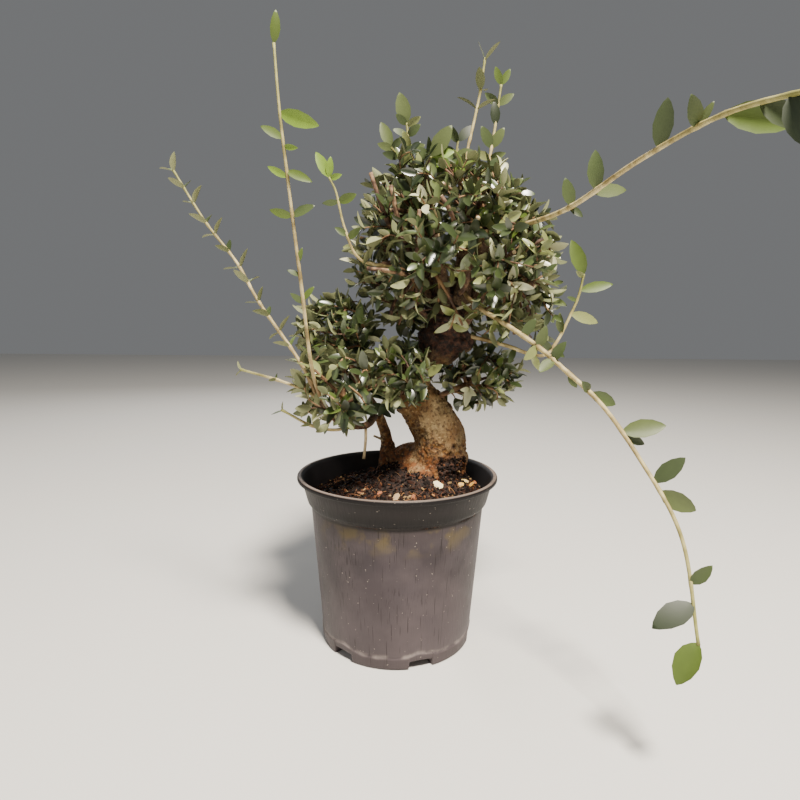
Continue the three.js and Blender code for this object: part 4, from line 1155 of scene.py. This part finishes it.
def blades(place, ahead, up, length, width, fold, curl):
    """Closed leaf blades: rings of four points, right edge, upper midrib, left edge and lower
    midrib, along the leaf. The half width follows a flattened half wave with its crest just
    before the middle, the edges stand above the midrib by the fold, and the tip bends down by
    the curl."""
    up = square_to(up, ahead)
    side = np.cross(up, ahead)
    half = np.maximum(np.sin(np.pi * LEAF_ROWS ** 0.9), 0) ** 0.7
    half = 0.5 * np.maximum(half, [0.1, 0, 0, 0, 0, 0, 0.04])
    across = half * width[:, None]
    along = LEAF_ROWS * length[:, None]
    drop = -curl[:, None] * length[:, None] * LEAF_ROWS ** 2
    thick = LEAF_THICKNESS * (0.3 + np.minimum(half, 0.35) * 2)
    edge = drop + fold[:, None] * across
    rings = []
    for reach, lift in ((across, edge), (0 * across, drop + thick), (-across, edge),
                        (0 * across, drop - thick)):
        rings.append(place[:, None] + along[..., None] * ahead[:, None]
                     + reach[..., None] * side[:, None] + lift[..., None] * up[:, None])
    return np.stack(rings, axis=2), repeated(LEAF_FACES, len(place), len(LEAF_ROWS) * 4)


# Both faces of a leaf are cut along the same diagonals, so they never cross near its edge
leaf_quads, leaf_ends = closed_grid(len(LEAF_ROWS), 4)

from_edge, to_edge = leaf_quads[::2], leaf_quads[1::2]
LEAF_FACES = np.concatenate([
    from_edge[:, [0, 1, 2]], from_edge[:, [0, 2, 3]], to_edge[:, [0, 1, 3]],
    to_edge[:, [1, 2, 3]], leaf_ends[:, [0, 1, 2]], leaf_ends[:, [0, 2, 3]],
])
UPPER_FACES = np.append(np.tile([True, False], len(leaf_quads)), [False] * 4)


def leaf_piece(name, leaves, shade):
    """One mesh of many leaves. Each leaf's upper faces take its spray's shade, and its lower
    faces one of the undersides."""
    points, faces = blades(*leaves)
    tones = np.where(UPPER_FACES[None], shade[:, None],
                     len(LEAF_SHADES) + shade[:, None] % len(UNDERSIDES))
    piece = surface(name, points, [faces], tones.ravel())
    piece.data.set_sharp_from_angle(angle=np.radians(70))
    return piece


def leaf_materials(name, shine, **values):
    """The shades of a leaf's upper face, with faint darker veins, then those of its felt."""
    shades = []
    for i, colour in enumerate(LEAF_SHADES + UNDERSIDES):
        above = i < len(LEAF_SHADES)
        settings = {"Roughness": shine, **values} if above else {"Roughness": 0.7}
        shade, tree = new_material(f"{name}_{i}" if above else f"{name}_felt_{i}", **settings)
        veins = cloud(tree, own_space(tree), 260.0 if above else 420.0, 3.0)
        paint(tree, tinted(tree, linear(colour, 0.74), (veins, colour)))
        shades.append(shade)
    return shades


# Olive leaf: leathery and waxed above, dark grey-green with a broad pale sheen, and felted
# below, paler and matt
leaf_shades = leaf_materials("waxed_leaf", 0.31, IOR=1.5, Specular_IOR_Level=0.85)

# Twig bark: thin and brown-grey, matt
twig_bark = mottled("twig_bark", 95.0, 5.0, [
    (0.38, "#3f2a1b"), (0.52, "#6b4c32"), (0.68, "#94764f")], Roughness=0.72)

for name, (foot, seed, reach, twigs, sprays) in LOW_MASSES.items():
    masses[name] = {"foot": np.array(foot) * MM, "seed": np.array(seed) * MM,
                    "centre": np.array(seed) * MM, "reach": np.array(reach) * MM,
                    "twigs": twigs, "sprays": sprays}
wood = np.concatenate([smooth_path(TRUNK_PATH, 60), smooth_path(SECOND_STEM, 16),
                       *bough_paths])
wood_radii = np.concatenate([spread(TRUNK_RADII, 60), spread(SECOND_RADII, 16),
                             *bough_radii])


def clear_of_wood(points):
    """Whether each point stands out of the trunk, the second stem and the boughs."""
    return np.concatenate([
        (np.linalg.norm(part[:, None] - wood[None], axis=2) > wood_radii + 1 * MM).all(axis=1)
        for part in np.array_split(points, max(1, len(points) // 2000))
    ])


for name, mass in masses.items():
    paths, radii, leafy = grow_mass(name, mass.get("sprays", CROWN_SPRAYS))
    twig_piece = surface(f"twigs_{name}", *tubes(paths, radii, 5))
    place_piece(twig_piece, [twig_bark], [f"foliage_{name}"])
    random = np.random.default_rng(list(masses).index(name) + 301)
    place, heading, out, back, twig = leaf_stations(paths, leafy, random)
    count = len(place)
    tip = np.exp(-back / TIP_ZONE)[:, None]
    scatter = random.normal(0, LEAN_SCATTER, (count, 1))
    lean = np.radians(LEAF_LEAN - TIP_LEAN * tip + scatter)
    ahead = heading * np.cos(lean) + out * np.sin(lean)
    ahead = unit(ahead + LEAF_RISE + random.normal(0, LEAF_SCATTER, (count, 3)))
    outward = unit(place - mass["centre"])
    up = heading * np.sin(lean) - out * np.cos(lean)
    scatter = random.normal(0, FACE_SCATTER, (count, 3))
    up = up + FACE_RISE + FACE_OUTWARD * outward + scatter
    grown = 1 - TIP_SHORTER * tip[:, 0]
    length = LEAF_LENGTH * grown * random.uniform(*LENGTH_RANGE, count)
    width = LEAF_WIDTH * grown * random.uniform(*WIDTH_RANGE, count)
    fold = random.uniform(*FOLD_RANGE, count)
    curl = random.uniform(*CURL_RANGE, count)
    probes = place + ahead * length[:, None]
    keep = clear_of_wood(probes) & inside_space(place + 0.45 * (probes - place), name)
    keep &= random.random(count) < LEAF_KEPT
    # Low masses take the mix that is painted darker as shade
    mix = CROWN_MIX if name in CROWN_MASSES else LOW_PAINTED_SHADE_MIX
    spray_shade = random.choice(len(LEAF_SHADES), len(paths), p=mix)
    leaves = [part[keep] for part in (place, ahead, up, length, width, fold, curl)]
    foliage = leaf_piece(f"leaves_{name}", leaves, spray_shade[twig][keep])
    place_piece(foliage, leaf_shades, [f"foliage_{name}"])


# Cut stems: stout older shoots of the crown, shortened by the clipping, that show their rusty
# bark and pale cut ends between the leaves
TOLD_STEMS = [
    [(24, -8, 258), (14, -22, 266), (12, -40, 293), (13.5, -52, 330)],
    [(2, -20, 312), (-9, -38, 326), (-20, -42, 356)],
    [(8, -20, 306), (0, -42, 322), (-6, -50, 346)],
    [(40, -40, 310), (35, -61, 324), (27, -66, 336)],
    [(44, -30, 275), (47, -50, 283), (50, -60, 312)],
    [(13, -36, 284), (2, -50, 288), (-22, -50, 291)],
]
stem_paths = []
for name in CROWN_MASSES:
    directions = even_directions(CUT_STEMS, CUT_SPIRAL_START)
    for direction in own_directions(directions, name, 0.8):
        foot, seed = masses[name]["foot"], masses[name]["seed"]
        start = foot + STEM_FOOT * (seed - foot)
        uneven = STEM_UNEVEN * noise(direction[None] * 9, 1, 5)[0]
        end = crown_point(direction, STEM_REACH + uneven)
        heading = unit(unit(end - start) + STEM_RISE)
        stem_paths.append(bent(start, heading, end, STEM_PLACES))
stem_paths += [smooth_path(np.array(corners) * MM, STEM_PLACES) for corners in TOLD_STEMS]
stem_paths = np.stack(stem_paths)
stem_radii = np.linspace(*STEM_ENDS, STEM_PLACES) * MM
stem_radii = stem_radii * (1 + STEM_KNOTS * noise(stem_paths, 6 * MM, 29))
stem_points, stem_faces = tubes(stem_paths, stem_radii, 9)
cut_faces = np.tile([False, True], len(stem_paths))
stem_tones = np.append(np.zeros(len(stem_faces[0]), dtype=bool), cut_faces)
stem_piece = surface("cut_stems", stem_points, stem_faces, stem_tones)

# Older twig bark: rusty brown, rough, with the pale wood bare at the cut
rusty_bark = mottled("rusty_twig_bark", 240.0, 6.0, [
    (0.36, "#291a12"), (0.5, "#513826"), (0.66, "#80664a")], 0.7, 0.5 * MM, Roughness=0.8)
place_piece(stem_piece, [rusty_bark, dry_wood])


# Long shoots
# This year's unpruned growth, standing far out of the clipped crown: straight whips of pale
# tan bark, green near the tip, with larger leaves in crossed pairs. The longest one droops.

SHOOT_PLACES = 64
KNOT_SWELLING = 0.22
KNOT_LENGTH = 1.6 * MM
KNOT_MOST = 1.2
YOUNG_LEAN = 58
YOUNG_TIP_LEAN = 26
YOUNG_WIDTH_RANGE = (0.9, 1.1)
YOUNG_LENGTH_RANGE = (0.8, 1.12)
YOUNG_FOLD_RANGE = (0.1, 0.5)
YOUNG_CURL_RANGE = (0, 0.22)
# Shoots: radii in millimetres at the foot and the tip, a leaf's width by its length, path
SHOOTS = {
    "drooping": (1.9, 0.9, 0.5, [
        (46.5, -10.8, 284), (52, -30, 271), (60.6, -45, 262.7), (77, -60, 251),
        (92.8, -75, 238.4), (104.6, -88, 226.3), (125, -101, 205.8), (144, -118, 175),
        (159, -142, 138), (163, -162, 83)]),
    "long_right": (2.0, 1.0, 0.42, [
        (53, -19, 318), (70, -30, 321), (88, -50, 322), (104, -85, 325), (122, -145, 337),
        (136, -192, 342), (146, -245, 334)]),
    "right": (1.7, 0.8, 0.4, [
        (44, -5, 247), (66, -12, 242), (84, -15, 237.3), (99, -16, 232), (111.4, -17, 231),
        (119, -18, 240), (126.7, -20, 257), (133.4, -22, 275.6), (135.6, -24, 291)]),
    "long_left": (1.3, 0.7, 0.42, [
        (-56, -59, 203), (-66, -60, 225), (-97, -52, 269), (-111, -50, 294),
        (-132, -48, 321), (-154, -45, 356)]),
    "tall_left": (1.4, 0.7, 0.38, [
        (-51, -54, 195), (-56, -70, 216), (-59, -100, 279), (-62, -112, 322),
        (-66, -119, 370), (-68, -120, 402)]),
    "thin_left": (1.2, 0.8, 0.45, [
        (-47, -50, 189), (-60, -54, 204), (-77, -56, 212), (-111, -50, 221)]),
    "low_left": (1.3, 0.9, 0.45, [
        (-34, -32, 178), (-46, -33, 175), (-62, -36, 178), (-85, -40, 191)]),
    "top": (1.5, 0.8, 0.45, [
        (44, -2, 305), (42, -9, 335), (49, -10, 377), (57, -10, 415), (61, -10, 444)]),
    "top_right": (1.5, 0.8, 0.48, [
        (62.5, 0, 303), (62, -4, 340), (66, -7, 371), (70, -5, 396), (74, -5, 428)]),
    "left": (1.4, 0.7, 0.45, [
        (27, -7, 305), (-4, -24, 296), (-28, -35, 299), (-38, -40, 319), (-44, -44, 344),
        (-48, -45, 352)]),
    "peak": (1.5, 0.8, 0.5, [
        (28, -4, 311), (30, 6, 330), (18, -3, 358), (7, -10, 382), (5, -10, 399)]),
}
# Leafy tips that stand up out of the crown, and one before the trunk's saddle, told the same way
TIPS = {
    "tip_left": (1.1, 0.7, 0.5, [(12, -4, 346), (2, -14, 370), (-6.4, -18, 380)]),
    "tip_middle": (1.1, 0.7, 0.5, [(24, -8, 340), (22, -22, 360), (22, -28, 371)]),
    "tip_right": (1.1, 0.7, 0.5, [(38, -2, 348), (41, -7, 372), (42.6, -10, 387)]),
    "inner_left": (1.2, 0.8, 0.5, [(-17, 25, 178), (-13, 14, 186), (-8, 2, 192), (-3, -6, 197)]),
}
# Leaf length and the way from pair to pair, in millimetres, where leaves follow a rule
PAIRED_LEAVES = {"long_left": (14, 13), "thin_left": (8, 26), "low_left": (10, 24), "top": (16, 18)}
# Leaves told one by one: millimetres back from the tip, length, the way it points to the right
# and up as seen from the front, and its shade; the rest of its direction is to the front
TOLD_LEAVES = {
    "drooping": [
        (1, 25, -0.56, -0.8, 5), (21, 26, -0.92, -0.33, 3), (32, 16, 0.45, 0.8, 1),
        (84, 22, 0.86, -0.45, 2), (90, 22, 0.66, 0.72, 0), (122, 13, 0.88, -0.4, 0),
        (124, 25, 0.96, 0.2, 2), (154, 17, 0.9, -0.4, 1), (156, 12, -0.5, 0.5, 1),
        (172, 10, 0.4, -0.85, 2), (186, 14, 0.3, 0.8, 1), (186, 15, -0.7, -0.5, 2),
        (200, 15, 0.2, 0.9, 2), (201, 14, -0.6, -0.6, 4), (214, 14, 0.5, 0.8, 1),
    ],
    "long_right": [
        (1, 25, 0.75, 0.1, 5), (19, 19, 0.04, -0.96, 3), (34, 19, 0.7, -0.6, 0),
        (53, 30, 0.96, -0.16, 5), (66, 10, 0.3, 0.85, 2), (68, 16, -0.5, 0.6, 1),
        (91, 22, 0.02, 0.97, 0), (140, 21, -0.19, 0.95, 1), (143, 18, 0.96, 0.07, 2),
        (164, 17, -0.34, 0.92, 1), (166, 10, 0.7, -0.6, 0),
    ],
    "tall_left": [
        (0, 15, 0.2, 0.9, 5), (35, 23, 0.92, -0.34, 6), (48, 13, -0.85, 0.45, 5),
        (52, 9, 0.9, -0.2, 6), (65, 16, 0.9, -0.37, 5), (68, 12, -0.88, 0.42, 6),
        (89, 13, -0.93, 0.2, 5), (89, 15, 0.9, 0.36, 1), (115, 9, 0.3, 0.85, 5),
        (123, 8, -0.8, 0.42, 1), (138, 11, 0.6, 0.7, 5), (140, 10, -0.6, 0.5, 1),
    ],
    "left": [
        (0, 18, -0.46, 0.86, 6), (0, 13, 0.11, 0.95, 6), (1, 9, 0.9, 0.2, 6),
        (17, 11, -0.9, -0.2, 1), (17, 14, 0.9, 0.3, 5), (40, 10, -0.8, 0.5, 1),
        (42, 12, 0.7, 0.5, 5),
    ],
    "right": [
        (0, 26, -0.42, 0.9, 5), (2, 10, -0.7, 0.3, 4), (12, 23, 0.95, 0.2, 5),
        (20, 9, -0.9, 0.3, 1), (30, 21, 0.94, -0.3, 4), (46, 16, -0.2, 0.95, 2),
        (58, 12, 0.6, -0.6, 1), (60, 13, -0.7, 0.5, 1), (76, 14, 0.3, -0.8, 4),
        (90, 13, -0.4, -0.8, 1), (104, 12, 0.5, 0.6, 1),
    ],
    "top_right": [
        (0, 13, -0.4, 0.9, 5), (0, 12, 0.5, 0.85, 5), (14, 13, -0.8, 0.5, 1),
        (14, 13, 0.8, 0.5, 2), (28, 16, -0.1, 0.95, 3), (45, 17, -0.5, 0.8, 1),
        (45, 16, 0.5, 0.8, 2), (53, 12, -0.9, 0.3, 4), (53, 12, 0.85, 0.2, 2),
        (62, 12, -0.8, 0.5, 1), (62, 13, 0.8, 0.4, 0),
    ],
    "peak": [
        (0, 21, -0.28, 0.94, 2), (1, 11, -0.75, 0.5, 1), (2, 12, 0.8, 0.4, 4),
        (9, 12, -0.85, 0.3, 1), (9, 12, 0.7, 0.5, 1), (18, 13, -0.4, 0.8, 4),
        (19, 12, 0.85, 0.2, 2), (28, 13, -0.9, 0.2, 1), (28, 14, 0.8, 0.4, 0),
        (38, 13, -0.7, 0.6, 2), (38, 13, 0.9, 0.1, 1),
    ],
    "tip_left": [
        (0, 18, -0.4, 0.9, 2), (1, 10, 0.7, 0.6, 1), (2, 12, -0.9, 0.2, 2), (8, 13, 0.8, 0.4, 1),
        (9, 13, -0.9, 0.1, 0), (16, 13, 0.2, 0.9, 4), (17, 13, -0.8, -0.3, 1),
        (25, 13, -0.9, 0.3, 2), (25, 13, 0.9, 0.1, 1),
    ],
    "tip_middle": [
        (0, 24, 0.56, 0.76, 2), (2, 17, 0.9, 0.3, 6), (3, 13, -0.7, 0.6, 1), (4, 14, 0.7, -0.1, 6),
        (10, 13, -0.9, 0.2, 2), (10, 14, 0.9, 0.4, 5), (18, 13, -0.6, 0.6, 4), (19, 13, 0.8, 0.3, 1),
    ],
    "inner_left": [
        (0, 13, 0.5, -0.6, 3), (1, 13, -0.7, -0.5, 3), (6, 12, 0.2, -0.9, 0), (9, 13, 0.8, -0.4, 3),
        (14, 13, -0.5, -0.8, 0), (15, 12, 0.6, -0.7, 3), (22, 13, -0.9, -0.2, 0),
        (23, 13, 0.5, 0.7, 0), (28, 12, 0.7, -0.6, 3),
    ],
    "tip_right": [
        (0, 16, 0.7, 0.7, 3), (1, 13, -0.5, 0.8, 1), (9, 13, 0.9, 0.1, 2), (9, 13, -0.9, 0.3, 1),
        (18, 13, 0.7, 0.6, 0), (18, 13, -0.8, 0.4, 4), (27, 13, 0.9, 0.2, 1),
        (27, 13, -0.7, 0.5, 2),
    ],
}
CROWN_SHELL = 0.97
FRONT_VIEW = np.array([0, -440, 300]) * MM
SHOOT_MIX = [0.22, 0.24, 0.16, 0.05, 0.05, 0.28, 0, 0]


def outside_masses(points):
    """Whether each point lies outside every mass's reach."""
    clear = np.ones(len(points), dtype=bool)
    for mass in masses.values():
        share = np.linalg.norm((points - mass["centre"]) / mass["reach"], axis=1)
        clear &= share > CROWN_SHELL
    return clear


# Young olive bark: smooth, brown at the foot of a shoot, pale tan along it and green at its
# tip, with fine lengthwise mottling
young_bark, tree = new_material("young_bark", Roughness=0.6)
tan = add(tree, "ShaderNodeValToRGB", {"Fac": cloud(tree, own_space(tree), 130.0, 4.0)},
          [(0.36, "#7d6c41"), (0.5, "#a49361"), (0.66, "#c4b483")]).outputs["Color"]
age = mark(tree, "age")
paint(tree, tinted(tree, tan, (ramp(tree, age, 0.72, 1.0, 0.75), "#644129"),
                   (ramp(tree, age, 0.4, 0.0, 0.7), "#7c8440")))

# Young leaves: the same shades with a duller skin
young_shades = leaf_materials("young_leaf", 0.50, Specular_IOR_Level=0.40)


def paired_leaves(random, total, spacing, heading_at, length):
    """Crossed pairs of leaves an even way apart: where they stand back from the tip, which way
    they point, how their upper face is turned, and their length."""
    back = np.arange(1.5 * MM, total, spacing)
    back[1:] += random.normal(0, 0.1 * spacing, len(back) - 1)
    heading = heading_at(back)
    flat = unit(np.cross(heading, [0.35, 1.0, 0.2]))
    crossed = np.where((np.arange(len(back)) % 2 == 1)[:, None], np.cross(heading, flat), flat)
    heading = np.repeat(heading, 2, axis=0)
    out = np.repeat(crossed, 2, axis=0) * np.tile([1, -1], len(back))[:, None]
    first = np.repeat(np.exp(-back / (3 * MM)), 2)
    lean = YOUNG_LEAN - YOUNG_TIP_LEAN * first + random.normal(0, 8, len(out))
    lean = np.radians(lean)[:, None]
    ahead = heading * np.cos(lean) + out * np.sin(lean) + [0, 0, 0.1]
    up = heading * np.sin(lean) - out * np.cos(lean) + [0, 0, 0.4]
    length = length * random.uniform(*YOUNG_LENGTH_RANGE, len(out)) * (1 - 0.2 * first)
    return np.repeat(back, 2), unit(ahead + random.normal(0, 0.12, ahead.shape)), up, length


for number, (name, shoot) in enumerate({**SHOOTS, **TIPS}.items()):
    base_radius, tip_radius, slender, corners = shoot
    random = np.random.default_rng(number + 501)
    path = smooth_path(np.array(corners) * MM, SHOOT_PLACES)
    place = way_along(path)
    total = place[-1]
    slope = unit(np.gradient(path, axis=0))
    if name in TOLD_LEAVES:
        told = np.array(TOLD_LEAVES[name])
        back, length = told[:, 0] * MM, told[:, 1] * MM
        frontwards = np.sqrt(np.maximum(0, 1 - told[:, 2] ** 2 - told[:, 3] ** 2))
        ahead = np.stack([told[:, 2], -frontwards, told[:, 3]], axis=1)
        up = unit(FRONT_VIEW - read(place, path, total - back))
        up = up + random.normal(0, 0.25, ahead.shape)
        shade = told[:, 4].astype(int)
    else:
        leaf_length, spacing = np.array(PAIRED_LEAVES[name]) * MM
        back, ahead, up, length = paired_leaves(
            random, total, spacing, lambda ways: unit(read(place, slope, total - ways)),
            leaf_length)
        shade = random.choice(len(LEAF_SHADES), len(back), p=SHOOT_MIX)
    knots = np.exp(-((place[:, None] - (total - back)) / KNOT_LENGTH) ** 2).sum(axis=1)
    radii = np.linspace(base_radius, tip_radius, SHOOT_PLACES) * MM
    radii = radii * (1 + KNOT_SWELLING * np.minimum(knots, KNOT_MOST))
    nodes = [f"shoot_{name}"] if name in SHOOTS else []
    wood_piece = surface(f"shoot_wood_{name}", *tubes(path[None], radii[None], 8))
    stored(wood_piece, "age", np.repeat(1 - place / total, 8))
    place_piece(wood_piece, [young_bark], nodes)
    root = read(place, path, total - back)
    count = len(root)
    width = slender * length * random.uniform(*YOUNG_WIDTH_RANGE, count)
    keep = outside_masses(root + 0.5 * ahead * length[:, None]) | (name in TOLD_LEAVES)
    fold = random.uniform(*YOUNG_FOLD_RANGE, count)
    curl = random.uniform(*YOUNG_CURL_RANGE, count)
    leaves = [part[keep] for part in (root, ahead, up, length, width, fold, curl)]
    foliage = leaf_piece(f"shoot_leaves_{name}", leaves, shade[keep])
    place_piece(foliage, young_shades, nodes)


# Floor, light and camera
# A wide floor of pale matt paper and soft lamps, seen from the photograph's place.

CAMERA_PLACE = Vector((0, -0.443, 0.253))
CAMERA_PITCH = np.radians(7.67)
CAMERA_YAW = np.radians(0.21)
CAMERA_ROLL = np.radians(0.47)
CAMERA_LENS = 25.2
SENSOR_WIDTH = 36
NEAREST_SEEN = 0.01
SKY_COLOUR = (0.86, 0.88, 0.9, 1)
SKY_STRENGTH = 0.2

floor = surface("floor", [(-4, -4, 0), (4, -4, 0), (4, 4, 0), (-4, 4, 0)],
                [np.array([[0, 1, 2, 3]])])
paper = new_material("matt_paper", Base_Color="#d9d7d3", Roughness=0.9)[0]
floor.data.materials.append(paper)


def lamp(name, place, target, size, power, colour):
    """A square soft lamp that faces its target."""
    light = bpy.data.lights.new(name, "AREA")
    light.size = size
    light.energy = power
    light.color = colour
    lit = new_object(name, light)
    lit.location = place
    lit.rotation_euler = (Vector(target) - Vector(place)).to_track_quat("-Z", "Y").to_euler()


lamp("key", (0.34, -0.80, 1.55), (0.02, 0, 0.24), 0.30, 100, (1.0, 0.92, 0.80))
lamp("fill", (-1.3, -0.9, 0.7), (0.02, 0, 0.24), 1.2, 4, (0.97, 0.98, 1.0))
lamp("back", (-0.4, 1.3, 1.1), (0.02, 0, 0.26), 1.0, 8, (1.0, 1.0, 1.0))
world = bpy.data.worlds.new("studio")
world.use_nodes = True
world.node_tree.nodes["Background"].inputs["Color"].default_value = SKY_COLOUR
world.node_tree.nodes["Background"].inputs["Strength"].default_value = SKY_STRENGTH
bpy.context.scene.world = world

forward = Vector((np.sin(CAMERA_YAW) * np.cos(CAMERA_PITCH),
                  np.cos(CAMERA_YAW) * np.cos(CAMERA_PITCH), -np.sin(CAMERA_PITCH)))
level = Vector((np.cos(CAMERA_YAW), -np.sin(CAMERA_YAW), 0))
upright = level.cross(forward)
right = level * np.cos(CAMERA_ROLL) + upright * np.sin(CAMERA_ROLL)
above = upright * np.cos(CAMERA_ROLL) - level * np.sin(CAMERA_ROLL)
camera_data = bpy.data.cameras.new("camera")
camera_data.lens = CAMERA_LENS
camera_data.sensor_width = SENSOR_WIDTH
camera_data.clip_start = NEAREST_SEEN
camera = new_object("camera", camera_data)
camera.matrix_world = Matrix.Translation(CAMERA_PLACE) @ Matrix(
    (right, above, -forward)).transposed().to_4x4()
bpy.context.scene.camera = camera
